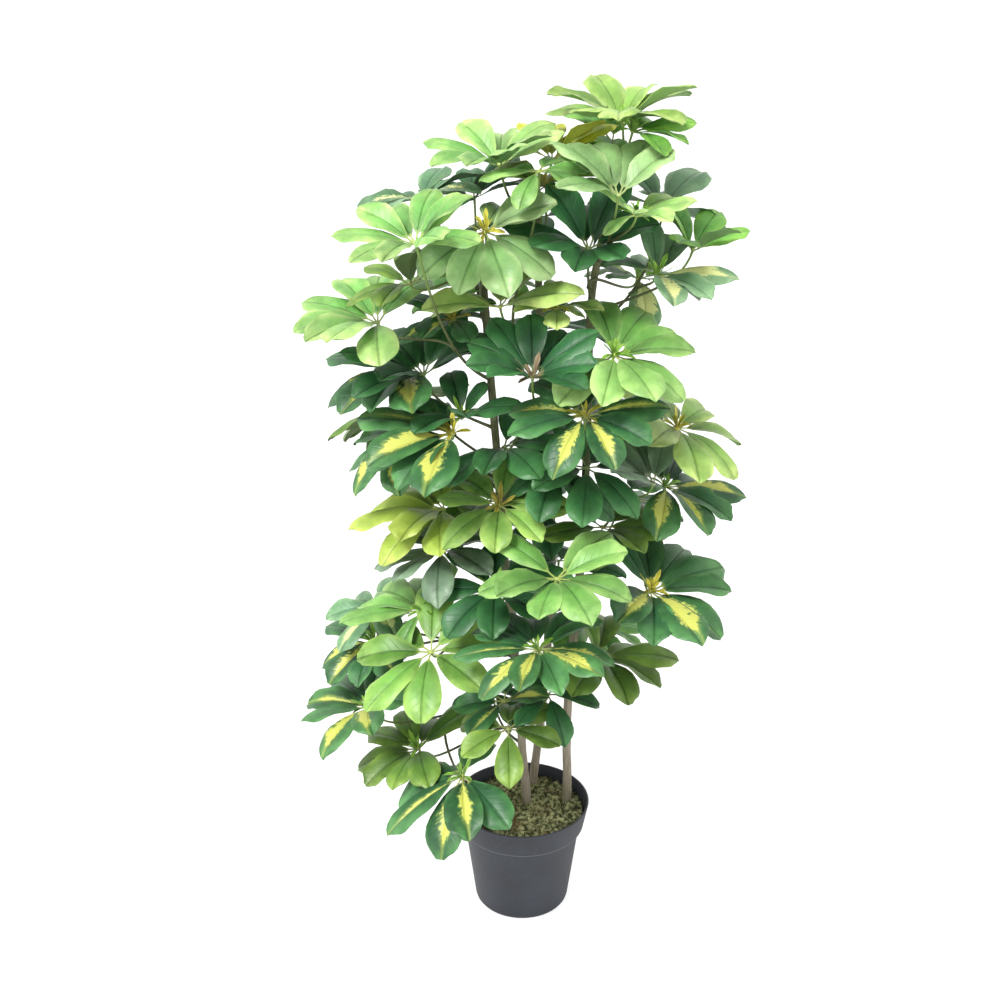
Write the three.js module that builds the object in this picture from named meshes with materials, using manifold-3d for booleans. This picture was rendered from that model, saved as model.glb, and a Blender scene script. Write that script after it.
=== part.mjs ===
// A potted umbrella plant: three slim trunks stand in a filled nursery pot under a bed of moss, and
// leafy sprays grow from them, each a stem with one or two umbrellas of leaflets at its petioles' ends.
// Millimetres, +Z up. The origin is the centre of the pot's underside, and the front faces -Y.

import * as THREE from 'three';
import { mergeVertices } from 'three/addons/utils/BufferGeometryUtils.js';
import Module from 'manifold-3d';

const wasm = await Module();
wasm.setup();

// ---------------------------------------------------------------- driving dimensions

const GAP = 0.35; // between a piece and the hole or shell it sits in

const POT = {
  rimRadius: 90,
  height: 152,
  bandHeight: 35,
  bandFootRadius: 83,
  bodyTopRadius: 77.5,
  bodyFootRadius: 62.5,
  cornerRadius: 7, // at the foot, outside
  innerCorner: 4, // at the foot, inside
  ledge: 2, // height of the slope under the rim band
  lip: { height: 1.2, width: 0.6 }, // the rounded outer edge of the rim
  wall: 2.4,
  floor: 3.2,
  segments: 32,
};

const FILLER = { top: 122, segments: 24 };
const MOSS = { bottom: FILLER.top + GAP, mean: 137, relief: 4.5, rings: 6, segments: 24 };
// the moss's clumps as waves: turns per millimetre along X and Y in radians, phase and weight
const CLUMPS = [
  { alongX: 0.19, alongY: 0.07, phase: 0, weight: 1 },
  { alongX: -0.05, alongY: 0.23, phase: 1.3, weight: 1 },
  { alongX: 0.41, alongY: -0.33, phase: 0.7, weight: 0.6 },
];

const TRUNK = { footRadius: 6.2, topRadius: 4.2, sides: 8, steps: 12 };
const STEM = { footRadius: 1.9, endRadius: 1.25, sides: 3, steps: 5, fork: 0.35 };
const SOCKET = { radius: 3, depth: 12, sides: 6 };
// A stem leaves its trunk at this slope, and a petiole's curve has handles of these shares of its span.
const PETIOLE = { slope: 0.45, footHandle: 0.4, hubHandle: 0.35 };

// How far an umbrella leans from straight up, as a slope: by each millimetre that it stands out from
// the trunks, towards the front where it shows from there, and at random.
const LEAN = { outward: 0.0017, front: 0.16, frontUpTo: 70, scatter: 0.1 };

const HUB_RADIUS = 4.2;
const BLADE = {
  thickness: 0.8,
  widthShare: 0.44, // of the leaflet's length, at its widest
  rise: 10, // degrees above the umbrella's plane at the hub
  droop: 40, // degrees that the leaflet turns down on its way to the tip
  layered: 4, // degrees that every second leaflet is raised, and the ones between are lowered
  clearance: 1.9, // between the middles of two blades that pass each other
};
// stations along a leaflet: share of its length, share of its widest half width
const STATIONS = [
  { along: 0.66, half: 1 },
  { along: 1, half: 0.4 },
];
// What is tried in turn until a leaflet clears its neighbours: shares of its length, and for each of
// them these degrees up or down.
const SHORTER = [1, 0.82, 0.66];
const BENDS = [0, -7, 7, -14, 14, -21, 21, -28, 28, -35, 35];
// The most that a leaflet differs from its neighbours: its heading as a share of the step between two,
// its length as a share, and the rest in degrees. A crowded umbrella has narrower leaflets.
const VARIATION = { heading: 0.1, length: 0.09, rise: 7, droop: 12, twist: 12 };
const CROWDED = 9;

const COLOURS = {
  bright: 0x7cc44a,
  olive: 0x5d8a3a,
  dark: 0x24543a,
  marbled: 0x4f7a35,
  bark: 0x857a68,
  moss: 0x5c5c2c,
  pot: 0x484b53,
  filler: 0x6b655c,
};

// Each trunk's middle line, from its foot in the filler to its top.
const TRUNKS = {
  left: [
    [10, 12, 50], [7, 9, 138], [0, 5, 222], [-4, 0, 300],
    [-24, 0, 503], [-34, -10, 650], [-48, 0, 835], [-53, 2, 905],
  ],
  middle: [
    [12, 48, 50], [16, 59, 138], [27, 54, 256], [37, 45, 497],
    [26, 40, 661], [17, 35, 827], [13, 30, 925],
  ],
  right: [
    [52, 16, 50], [61, 16, 138], [59, 10, 267], [67, 5, 417],
    [74, 0, 544], [76, 0, 713], [78, 0, 847], [98, 0, 955],
  ],
};

// Each spray: the trunk and height it grows from, and its umbrellas as hub place, leaflet length,
// number of leaflets, cup (degrees they are raised above the usual), then, where they differ from the
// usual, the extra lean to +X and +Y as slopes, the share of the circle that the leaflets fill, and the
// middle of that share, in degrees from +X towards +Y.
const SPRAYS = [
  {
    name: 'crown_bright', leaf: 'bright', trunk: 'right', root: 950,
    umbrellas: [[108, 12, 1034, 94, 9, 25, -0.24, 0.14]],
  },
  {
    name: 'crown_green', leaf: 'olive', trunk: 'right', root: 915,
    umbrellas: [
      [100, 50, 1010, 92, 6, 26, 0, 0, 0.6, 172],
      [116, -25, 1028, 66, 4, 14, 0, 0, 0.45, -5],
    ],
  },
  {
    name: 'crown_mint', leaf: 'bright', trunk: 'middle', root: 915,
    umbrellas: [[-30, -10, 990, 84, 9, 28, -0.05, 0.08], [30, 30, 992, 78, 6, 34, 0, 0.1, 0.6, 70]],
  },
  {
    name: 'shoulder_sage', leaf: 'olive', trunk: 'right', root: 880,
    umbrellas: [
      [97, -90, 968, 84, 6, 34, 0, 0.05, 0.62, 125],
      [118, -80, 945, 60, 6, 26, 0, 0, 0.8, -80],
    ],
  },
  {
    name: 'crown_olive', leaf: 'olive', trunk: 'middle', root: 865,
    umbrellas: [[22, 0, 965, 86, 8, 0, 0, -0.1], [20, 100, 915, 88, 8, 0]],
  },
  {
    name: 'left_sage', leaf: 'olive', trunk: 'left', root: 850,
    umbrellas: [[-46, -66, 925, 88, 7, 2, 0, -0.45, 0.74, -35], [-132, -40, 862, 72, 7, 18]],
  },
  {
    name: 'left_shadow', leaf: 'dark', trunk: 'left', root: 800,
    umbrellas: [[-60, 40, 947, 74, 7, 24], [-55, 110, 825, 90, 8, 0]],
  },
  {
    name: 'left_marbled_high', leaf: 'marbled', trunk: 'left', root: 890,
    umbrellas: [[-120, 10, 950, 76, 7, 8]],
  },
  {
    name: 'left_mint', leaf: 'bright', trunk: 'left', root: 740,
    umbrellas: [
      [-120, -118, 922, 80, 10, 26, 0.1, 0, 0.95, 95],
      [-172, -20, 812, 98, 8, 18, 0.1, 0, 0.7, 168],
    ],
  },
  {
    name: 'heart_dark_high', leaf: 'dark', trunk: 'right', root: 835,
    umbrellas: [[70, -30, 900, 90, 9, 22, -0.1, -0.05], [135, 50, 850, 80, 7, 6]],
  },
  {
    name: 'right_marbled_high', leaf: 'marbled', trunk: 'right', root: 800,
    umbrellas: [
      [160, 30, 938, 98, 8, 22, -0.1, 0.1, 0.7, 45],
      [150, -20, 868, 84, 7, 16, 0, 0.05, 0.75, 30],
    ],
  },
  {
    name: 'right_green', leaf: 'olive', trunk: 'right', root: 818,
    umbrellas: [[192, -5, 894, 72, 6, 40, 0.02, 0]],
  },
  {
    name: 'heart_bright', leaf: 'bright', trunk: 'middle', root: 770,
    umbrellas: [
      [-30, -50, 838, 92, 7, 10, 0, 0, 0.66, 85],
      [34, -30, 832, 60, 6, 12],
      [12, -66, 990, 58, 6, 0],
    ],
  },
  {
    name: 'left_marbled_inner', leaf: 'marbled', trunk: 'left', root: 765,
    umbrellas: [[-85, 0, 812, 70, 7, 8]],
  },
  {
    name: 'heart_dark_low', leaf: 'dark', trunk: 'right', root: 615,
    umbrellas: [[72, -62, 648, 82, 7, 0]],
  },
  {
    name: 'front_dark', leaf: 'dark', trunk: 'middle', root: 700,
    umbrellas: [[6, -110, 772, 80, 9, 30, 0, 0.05, 0.84, 90], [-25, -20, 660, 84, 8, 8]],
  },
  {
    name: 'left_dark', leaf: 'dark', trunk: 'left', root: 680,
    umbrellas: [[-120, -20, 750, 92, 9, 26, 0.05, 0, 0.75, 120], [-75, -30, 700, 74, 6, 30]],
  },
  {
    name: 'left_marbled', leaf: 'marbled', trunk: 'left', root: 635,
    umbrellas: [
      [-140, 20, 745, 106, 7, 8, 0, 0, 0.6, 185],
      [-85, -60, 690, 112, 7, 4, 0, 0, 0.48, 185],
    ],
  },
  {
    name: 'left_marbled_low', leaf: 'marbled', trunk: 'left', root: 615,
    umbrellas: [[-150, 10, 665, 88, 7, -8, 0, 0, 0.75]],
  },
  {
    name: 'front_marbled', leaf: 'marbled', trunk: 'right', root: 690,
    umbrellas: [[65, -120, 730, 86, 9, 4]],
  },
  {
    name: 'right_bright', leaf: 'bright', trunk: 'right', root: 650,
    umbrellas: [
      [98, -90, 792, 92, 8, 14, 0.05, -0.08, 0.75, -18],
      [182, -20, 684, 92, 8, 2, -0.02, 0.02],
    ],
  },
  {
    name: 'right_grey', leaf: 'olive', trunk: 'right', root: 590,
    umbrellas: [[150, -72, 632, 82, 5, 30, 0, 0, 0.5, 150], [95, -30, 560, 76, 7, 10]],
  },
  {
    name: 'right_marbled', leaf: 'marbled', trunk: 'right', root: 500,
    umbrellas: [
      [175, 10, 598, 96, 8, 6, 0.1, 0, 0.75, -10],
      [154, -60, 488, 102, 9, 12, 0, 0, 0.78, 0],
    ],
  },
  {
    name: 'left_lime', leaf: 'bright', trunk: 'left', root: 560,
    umbrellas: [[-100, 0, 572, 108, 8, 8, 0, 0.05, 0.56, 180], [-30, -60, 600, 80, 8, 4, 0, -0.05]],
  },
  {
    name: 'left_olive', leaf: 'olive', trunk: 'left', root: 525,
    umbrellas: [[-45, 30, 570, 76, 7, 0], [-85, 120, 510, 90, 8, 0]],
  },
  {
    name: 'heart_dark', leaf: 'dark', trunk: 'middle', root: 540,
    umbrellas: [[35, -40, 640, 88, 8, 0], [20, 40, 555, 80, 7, 0]],
  },
  {
    name: 'left_grey', leaf: 'olive', trunk: 'left', root: 485,
    umbrellas: [[-100, -20, 525, 84, 8, 4]],
  },
  {
    name: 'front_bright', leaf: 'bright', trunk: 'middle', root: 470,
    umbrellas: [[35, -150, 545, 90, 8, 14, 0, 0.2, 0.86, -85]],
  },
  {
    name: 'front_gloss', leaf: 'dark', trunk: 'left', root: 450,
    umbrellas: [[-35, -70, 495, 86, 8, 4]],
  },
  {
    name: 'left_low_bright', leaf: 'bright', trunk: 'left', root: 390,
    umbrellas: [[-126, -40, 452, 94, 7, 16, 0, 0.1, 0.62, 160], [-114, -90, 420, 96, 8, 2, 0, 0.05]],
  },
  {
    name: 'left_low_marbled', leaf: 'marbled', trunk: 'left', root: 365,
    umbrellas: [[-188, 30, 425, 74, 7, 0, 0.1, 0], [-195, 20, 378, 80, 7, 0, 0.1, 0, 0.75]],
  },
  {
    name: 'front_low_marbled', leaf: 'marbled', trunk: 'left', root: 345,
    umbrellas: [[15, -150, 455, 90, 11, 4, 0, 0.26], [-25, -60, 335, 66, 7, -4]],
  },
  {
    name: 'right_low_olive', leaf: 'olive', trunk: 'right', root: 320,
    umbrellas: [[97, -20, 377, 92, 8, 6, 0.1, 0.08, 0.85, -15]],
  },
  {
    name: 'front_low_olive', leaf: 'olive', trunk: 'left', root: 310,
    umbrellas: [[-20, -110, 325, 70, 6, 0], [30, -70, 350, 66, 6, -4]],
  },
  {
    name: 'base_marbled', leaf: 'marbled', trunk: 'left', root: 285,
    umbrellas: [
      [-200, -20, 304, 94, 8, 20, 0, 0.1, 0.9, 178],
      [-76, -130, 270, 104, 8, -12, -0.05, 0.28, 0.72, 190],
    ],
  },
  {
    name: 'base_olive', leaf: 'olive', trunk: 'left', root: 260,
    umbrellas: [[-135, -50, 260, 84, 8, 4, -0.05, 0.12, 0.8, 160]],
  },
  {
    name: 'base_dark', leaf: 'dark', trunk: 'left', root: 235,
    umbrellas: [[-40, 10, 310, 64, 6, 0]],
  },
  {
    name: 'back_high_dark', leaf: 'dark', trunk: 'middle', root: 640,
    umbrellas: [[25, 120, 770, 92, 8, 0], [100, 140, 670, 92, 8, 0]],
  },
  {
    name: 'back_low_dark', leaf: 'dark', trunk: 'middle', root: 330,
    umbrellas: [[50, 130, 445, 92, 8, 0], [0, 120, 360, 88, 8, 0]],
  },
  {
    name: 'back_right_marbled', leaf: 'marbled', trunk: 'middle', root: 440,
    umbrellas: [[130, 120, 540, 88, 8, 0]],
  },
  {
    name: 'back_low_green', leaf: 'olive', trunk: 'right', root: 350,
    umbrellas: [[90, 100, 360, 84, 8, 0]],
  },
  {
    name: 'back_left_olive', leaf: 'olive', trunk: 'left', root: 600,
    umbrellas: [[-160, 110, 665, 90, 8, 0]],
  },
];

// ---------------------------------------------------------------- helpers

const UP = new THREE.Vector3(0, 0, 1);
const radians = THREE.MathUtils.degToRad;
const point = ([x, y, z]) => new THREE.Vector3(x, y, z);

// The seeded draw that every small variation comes from: an even spread of values from -1 to 1.
const GOLDEN = 0.6180339887498949;
const draw = (seed) => 2 * ((seed * GOLDEN) % 1) - 1;
const seedAt = ({ x, y, z }) => 10000 + 3 * x + 7 * y + 11 * z; // always above zero on this plant

function material(colour, roughness) {
  return new THREE.MeshStandardMaterial({ color: colour, roughness, metalness: 0 });
}

function meshFrom(name, geometry, surface) {
  const mesh = new THREE.Mesh(geometry, surface);
  mesh.name = name;
  return mesh;
}

function solidFrom(geometry) {
  const bare = geometry.clone();
  bare.deleteAttribute('normal');
  bare.deleteAttribute('uv');
  const merged = mergeVertices(bare, 1e-4);
  return new wasm.Manifold(new wasm.Mesh({
    numProp: 3,
    vertProperties: new Float32Array(merged.attributes.position.array),
    triVerts: new Uint32Array(merged.index.array),
  }));
}

function geometryFrom(solid) {
  const { vertProperties, triVerts } = solid.getMesh();
  const geometry = new THREE.BufferGeometry();
  geometry.setAttribute('position', new THREE.BufferAttribute(new Float32Array(vertProperties), 3));
  geometry.setIndex(new THREE.BufferAttribute(new Uint32Array(triVerts), 1));
  geometry.computeVertexNormals();
  return geometry;
}

function geometryOf(corners, faces) {
  const geometry = new THREE.BufferGeometry();
  const numbers = corners.flatMap((corner) => corner.toArray());
  geometry.setAttribute('position', new THREE.Float32BufferAttribute(numbers, 3));
  geometry.setIndex(faces.flat());
  geometry.computeVertexNormals();
  return geometry;
}

// The side of a round bar along a curve, whose radius is a function of the share of its length, with
// its first end closed: the corners ring by ring, and the faces.
function openBar(curve, radiusAt, sides, steps) {
  const { normals, binormals } = curve.computeFrenetFrames(steps, false);
  const corners = [];
  const faces = [];
  for (let step = 0; step <= steps; step += 1) {
    const middle = curve.getPointAt(step / steps);
    for (let side = 0; side < sides; side += 1) {
      const angle = (2 * Math.PI * side) / sides;
      corners.push(middle.clone()
        .addScaledVector(normals[step], radiusAt(step / steps) * Math.cos(angle))
        .addScaledVector(binormals[step], radiusAt(step / steps) * Math.sin(angle)));
    }
  }
  for (let step = 0; step < steps; step += 1) {
    for (let side = 0; side < sides; side += 1) {
      const here = step * sides + side;
      const beside = step * sides + ((side + 1) % sides);
      faces.push([here, beside, beside + sides], [here, beside + sides, here + sides]);
    }
  }
  for (let side = 1; side < sides - 1; side += 1) faces.push([0, side + 1, side]);
  return { corners, faces };
}

// The same bar with both its ends closed.
function bar(curve, radiusAt, sides, steps) {
  const { corners, faces } = openBar(curve, radiusAt, sides, steps);
  const last = steps * sides;
  for (let side = 1; side < sides - 1; side += 1) faces.push([last, last + side, last + side + 1]);
  return geometryOf(corners, faces);
}

// A profile of [radius, height] points turned round the upright axis.
function turned(profile, segments) {
  const lathe = new THREE.LatheGeometry(profile.map(([r, z]) => new THREE.Vector2(r, z)), segments);
  return lathe.rotateX(Math.PI / 2);
}

// ---------------------------------------------------------------- pot, filler and moss

const bandFoot = POT.height - POT.bandHeight;

// The pot's inner radius at a height, a wall's thickness inside the tapered body and the rim band.
function innerRadius(height) {
  if (height >= bandFoot) {
    const share = (height - bandFoot) / POT.bandHeight;
    return POT.bandFootRadius + share * (POT.rimRadius - POT.bandFootRadius) - POT.wall;
  }
  const share = (height - POT.cornerRadius) / (bandFoot - POT.cornerRadius);
  return POT.bodyFootRadius + share * (POT.bodyTopRadius - POT.bodyFootRadius) - POT.wall;
}

function potGeometry() {
  const corner = [0.3, 0.7].map((share) => {
    const angle = (Math.PI / 2) * share;
    return [
      POT.bodyFootRadius - POT.cornerRadius * (1 - Math.sin(angle)),
      POT.cornerRadius * (1 - Math.cos(angle)),
    ];
  });
  const profile = [
    [0, 0],
    [POT.bodyFootRadius - POT.cornerRadius, 0],
    ...corner,
    [POT.bodyFootRadius, POT.cornerRadius],
    [POT.bodyTopRadius, bandFoot - POT.ledge],
    [POT.bandFootRadius, bandFoot],
    [POT.rimRadius, POT.height - POT.lip.height],
    [POT.rimRadius - POT.lip.width, POT.height],
    [POT.rimRadius - POT.wall, POT.height],
    [innerRadius(bandFoot + POT.ledge), bandFoot + POT.ledge],
    [innerRadius(bandFoot - POT.ledge), bandFoot - POT.ledge],
    [innerRadius(POT.cornerRadius), POT.cornerRadius],
    [innerRadius(POT.cornerRadius) - POT.innerCorner, POT.floor],
    [0, POT.floor],
  ];
  return turned(profile, POT.segments);
}

// The plug of hard filler that holds the trunks' feet and gives the pot its weight.
function fillerGeometry() {
  const foot = innerRadius(POT.cornerRadius);
  const neck = innerRadius(bandFoot - POT.ledge) - 2 * GAP;
  const profile = [
    [0, POT.floor + GAP],
    [foot - POT.innerCorner - GAP, POT.floor + GAP],
    [foot - 2 * GAP, POT.cornerRadius + GAP],
    [neck, bandFoot - POT.ledge],
    [neck, FILLER.top],
    [0, FILLER.top],
  ];
  return turned(profile, FILLER.segments);
}

// Clumps in the moss: a sum of a few waves on a low dome that falls to the pot's wall.
function mossHeight(x, y) {
  const clumps = CLUMPS.map(({ alongX, alongY, phase, weight }) => (
    weight * Math.sin(alongX * x + alongY * y + phase))).reduce((a, b) => a + b);
  const fade = 1 - (Math.hypot(x, y) / innerRadius(MOSS.mean)) ** 4;
  return MOSS.mean + MOSS.relief * (0.4 * clumps * fade + 0.7 * fade - 0.5);
}

function mossGeometry() {
  const outer = innerRadius(MOSS.bottom) - 2 * GAP;
  const corners = [new THREE.Vector3(0, 0, mossHeight(0, 0)), new THREE.Vector3(0, 0, MOSS.bottom)];
  const faces = [];
  const ringStart = (ring) => 2 + (ring - 1) * MOSS.segments;
  for (let ring = 1; ring <= MOSS.rings + 1; ring += 1) {
    const foot = ring === MOSS.rings + 1;
    const radius = outer * (foot ? 1 : ring / MOSS.rings);
    for (let segment = 0; segment < MOSS.segments; segment += 1) {
      const angle = (2 * Math.PI * segment) / MOSS.segments;
      const x = radius * Math.cos(angle);
      const y = radius * Math.sin(angle);
      corners.push(new THREE.Vector3(x, y, foot ? MOSS.bottom : mossHeight(x, y)));
    }
  }
  for (let segment = 0; segment < MOSS.segments; segment += 1) {
    const next = (segment + 1) % MOSS.segments;
    faces.push([0, ringStart(1) + segment, ringStart(1) + next]);
    for (let ring = 1; ring <= MOSS.rings; ring += 1) {
      const inner = ringStart(ring);
      const outerRing = ringStart(ring + 1);
      faces.push([inner + segment, outerRing + segment, outerRing + next]);
      faces.push([inner + segment, outerRing + next, inner + next]);
    }
    faces.push([1, ringStart(MOSS.rings + 1) + next, ringStart(MOSS.rings + 1) + segment]);
  }
  return geometryOf(corners, faces);
}

// ---------------------------------------------------------------- trunks

const trunkCurves = Object.fromEntries(Object.entries(TRUNKS)
  .map(([name, line]) => [name, new THREE.CatmullRomCurve3(line.map(point))]));

const trunkRadius = (share) => TRUNK.footRadius + share * (TRUNK.topRadius - TRUNK.footRadius);

// A trunk, or with extra radius the hole that it stands in.
function trunkSolid(name, extra = 0) {
  const radiusAt = (share) => trunkRadius(share) + extra;
  return solidFrom(bar(trunkCurves[name], radiusAt, TRUNK.sides, TRUNK.steps));
}

// The point on a trunk's middle line at a height.
function trunkPoint(name, height) {
  let low = 0;
  let high = 1;
  for (let halving = 0; halving < 30; halving += 1) {
    const half = (low + high) / 2;
    if (trunkCurves[name].getPoint(half).z < height) low = half;
    else high = half;
  }
  return trunkCurves[name].getPoint(low);
}

// ---------------------------------------------------------------- sprays: stems and petioles

// Everything about an umbrella but its leaflets: its hub and the way it faces, which is upwards,
// a little away from the trunks and a little to the front.
function layUmbrella([x, y, z, length, count, cup, leanX = 0, leanY = 0, fan = 1, facing], index) {
  const hub = new THREE.Vector3(x, y, z);
  const seed = seedAt(hub);
  const names = Object.keys(TRUNKS);
  const middle = new THREE.Vector3();
  names.forEach((name) => middle.addScaledVector(trunkPoint(name, z), 1 / names.length));
  const out = hub.clone().sub(middle).setZ(0).multiplyScalar(LEAN.outward);
  const axis = UP.clone().add(out);
  axis.x += leanX + LEAN.scatter * draw(seed + 1);
  axis.y += leanY + LEAN.scatter * draw(seed + 2) - (y < LEAN.frontUpTo ? LEAN.front : 0);
  return { hub, axis: axis.normalize(), out, length, count, cup, fan, facing, seed, index };
}

// A petiole leaves its foot in one direction and comes up under its hub.
function petioleCurve(foot, direction, { hub, axis }) {
  const end = hub.clone().addScaledVector(axis, -BLADE.thickness / 2);
  const span = end.distanceTo(foot);
  return new THREE.CubicBezierCurve3(
    foot,
    foot.clone().addScaledVector(direction, PETIOLE.footHandle * span),
    end.clone().addScaledVector(axis, -PETIOLE.hubHandle * span),
    end,
  );
}

let umbrellaCount = 0;
const sprays = SPRAYS.map((spray) => {
  const umbrellas = spray.umbrellas.map((row) => {
    umbrellaCount += 1;
    return layUmbrella(row, umbrellaCount);
  });
  const root = trunkPoint(spray.trunk, spray.root);
  const outwards = umbrellas[0].hub.clone().sub(root).setZ(0).normalize();
  const start = outwards.addScaledVector(UP, PETIOLE.slope).normalize();
  umbrellas[0].petiole = petioleCurve(root, start, umbrellas[0]);
  umbrellas.slice(1).forEach((umbrella) => {
    const fork = umbrellas[0].petiole.getPoint(STEM.fork);
    umbrella.petiole = petioleCurve(fork, umbrellas[0].petiole.getTangent(STEM.fork), umbrella);
  });
  return { ...spray, root, umbrellas };
});

const stemRadius = (share) => STEM.footRadius + share * (STEM.endRadius - STEM.footRadius);

// ---------------------------------------------------------------- leaflets that clear one another

// Two directions square to an umbrella's axis and to each other.
function crossAxes(axis) {
  const side = new THREE.Vector3(1, 0, 0).addScaledVector(axis, -axis.x).normalize();
  return { side, front: new THREE.Vector3().crossVectors(axis, side) };
}

// The way a leaflet of an umbrella heads, and the directions and hub corners around it.
function leafletHeading({ hub, axis, out, count, fan, facing, seed }, leaflet) {
  const { side, front } = crossAxes(axis);
  const turn = (angle) => (
    side.clone().multiplyScalar(Math.cos(angle)).addScaledVector(front, Math.sin(angle)));
  const usual = fan < 1 ? Math.atan2(out.dot(front), out.dot(side)) : Math.PI * draw(seed);
  const middle = facing === undefined ? usual : radians(facing);
  const step = (2 * Math.PI * fan) / count;
  const corner = (k) => hub.clone().addScaledVector(turn(middle + (k - count / 2) * step), HUB_RADIUS);
  const stray = VARIATION.heading * draw(seed + 6 * leaflet + 3);
  const heading = middle + (leaflet + 0.5 - count / 2 + stray) * step;
  return {
    step,
    roots: [corner(leaflet), corner(leaflet + 1)],
    radial: turn(heading),
    across: turn(heading + Math.PI / 2),
  };
}

// A leaflet's middle surface: two root corners and two corners at each station, with the normals
// there. It rises from the hub, arches over and droops, as an arc of constant curvature.
function leafletSurface(umbrella, leaflet, { shorter, bend }) {
  const { hub, axis, length, count, cup } = umbrella;
  const seed = umbrella.seed + 6 * leaflet;
  const { step, roots, radial, across } = leafletHeading(umbrella, leaflet);
  const reach = shorter * length * (1 + VARIATION.length * draw(seed + 4));
  const widest = 0.5 * BLADE.widthShare * reach * Math.min(1, CROWDED / count);
  const layer = leaflet % 2 ? -BLADE.layered : BLADE.layered;
  const first = radians(BLADE.rise + cup + layer + bend + VARIATION.rise * draw(seed + 5));
  const bow = radians(BLADE.droop + VARIATION.droop * draw(seed + 6));
  const twist = radians(VARIATION.twist * draw(seed + 7));
  const place = (along) => {
    const angle = first - bow * along;
    const outBy = HUB_RADIUS * Math.cos(step / 2) + (reach / bow) * (Math.sin(first) - Math.sin(angle));
    const upBy = (reach / bow) * (Math.cos(angle) - Math.cos(first));
    const normal = axis.clone().multiplyScalar(Math.cos(angle)).addScaledVector(radial, -Math.sin(angle));
    return { at: hub.clone().addScaledVector(radial, outBy).addScaledVector(axis, upBy), normal };
  };
  const corners = [...roots];
  const normals = [axis.clone(), axis.clone()];
  STATIONS.forEach(({ along, half }) => {
    const { at, normal } = place(along);
    const sideways = across.clone().multiplyScalar(Math.cos(twist));
    sideways.addScaledVector(normal, Math.sin(twist));
    corners.push(at.clone().addScaledVector(sideways, -half * widest));
    corners.push(at.clone().addScaledVector(sideways, half * widest));
    normals.push(normal, normal);
  });
  return { corners, normals };
}

const LEAFLET_FACES = [[0, 3, 1], [0, 2, 3], [2, 5, 3], [2, 4, 5]];
const LEAFLET_EDGE = [0, 2, 4, 5, 3, 1];

// Distances between segments and triangles, by three.js's own closest-point methods.
const face = new THREE.Triangle();
const spot = new THREE.Vector3();
const ray = new THREE.Ray();

function segmentsApart(a, b, c, d) {
  const along = b.clone().sub(a);
  const other = d.clone().sub(c);
  const between = a.clone().sub(c);
  const aa = along.lengthSq();
  const bb = other.lengthSq();
  const ab = along.dot(other);
  const ar = along.dot(between);
  const br = other.dot(between);
  const spread = aa * bb - ab * ab;
  let s = spread > 1e-9 ? THREE.MathUtils.clamp((ab * br - ar * bb) / spread, 0, 1) : 0;
  const t = THREE.MathUtils.clamp((ab * s + br) / bb, 0, 1);
  s = THREE.MathUtils.clamp((ab * t - ar) / aa, 0, 1);
  return a.clone().addScaledVector(along, s).distanceTo(c.clone().addScaledVector(other, t));
}

function segmentToFace(a, b, [p, q, r]) {
  ray.origin.copy(a);
  ray.direction.copy(b).sub(a).normalize();
  const hit = ray.intersectTriangle(p, q, r, false, spot);
  if (hit && hit.distanceTo(a) <= a.distanceTo(b)) return 0;
  face.set(p, q, r);
  return Math.min(
    face.closestPointToPoint(a, spot).distanceTo(a),
    face.closestPointToPoint(b, spot).distanceTo(b),
    segmentsApart(a, b, p, q),
    segmentsApart(a, b, q, r),
    segmentsApart(a, b, r, p),
  );
}

function facesApart(one, other) {
  let apart = Infinity;
  for (let k = 0; k < 3; k += 1) {
    apart = Math.min(apart, segmentToFace(one[k], one[(k + 1) % 3], other));
    apart = Math.min(apart, segmentToFace(other[k], other[(k + 1) % 3], one));
  }
  return apart;
}

function ballRound(corners) {
  const middle = new THREE.Vector3();
  corners.forEach((corner) => middle.addScaledVector(corner, 1 / corners.length));
  return { middle, radius: Math.max(...corners.map((corner) => corner.distanceTo(middle))) };
}

const ballsApart = (a, b) => a.middle.distanceTo(b.middle) - a.radius - b.radius;

// The petioles and trunks as chains of round bars, which the leaflets keep clear of.
const rods = [];
function addRods(curve, radius, owner, steps) {
  const points = curve.getPoints(steps);
  for (let k = 0; k < steps; k += 1) {
    const ends = [points[k], points[k + 1]];
    rods.push({ ends, radius, owner, ball: ballRound(ends) });
  }
}
Object.values(trunkCurves).forEach((curve) => addRods(curve, TRUNK.footRadius, 'trunk', 2 * TRUNK.steps));
sprays.forEach((spray) => spray.umbrellas.forEach((umbrella) => {
  addRods(umbrella.petiole, STEM.endRadius, umbrella.index, STEM.steps);
}));

const blades = [];

function clearsBlades(faces, ball, owner) {
  const room = BLADE.clearance;
  const near = blades.filter((other) => other.owner !== owner && ballsApart(ball, other.ball) < room);
  return near.every((other) => faces.every((mine) => ballsApart(mine.ball, other.ball) >= room
    || other.faces.every((theirs) => ballsApart(mine.ball, theirs.ball) >= room
      || facesApart(mine.corners, theirs.corners) >= room)));
}

function clearsRods(faces, ball, owner) {
  const room = BLADE.clearance;
  const near = rods.filter((rod) => rod.owner !== owner && ballsApart(ball, rod.ball) < rod.radius + room);
  return near.every((rod) => faces.every((mine) => ballsApart(mine.ball, rod.ball) > rod.radius + room
    || segmentToFace(rod.ends[0], rod.ends[1], mine.corners) > rod.radius + room / 2));
}

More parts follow.
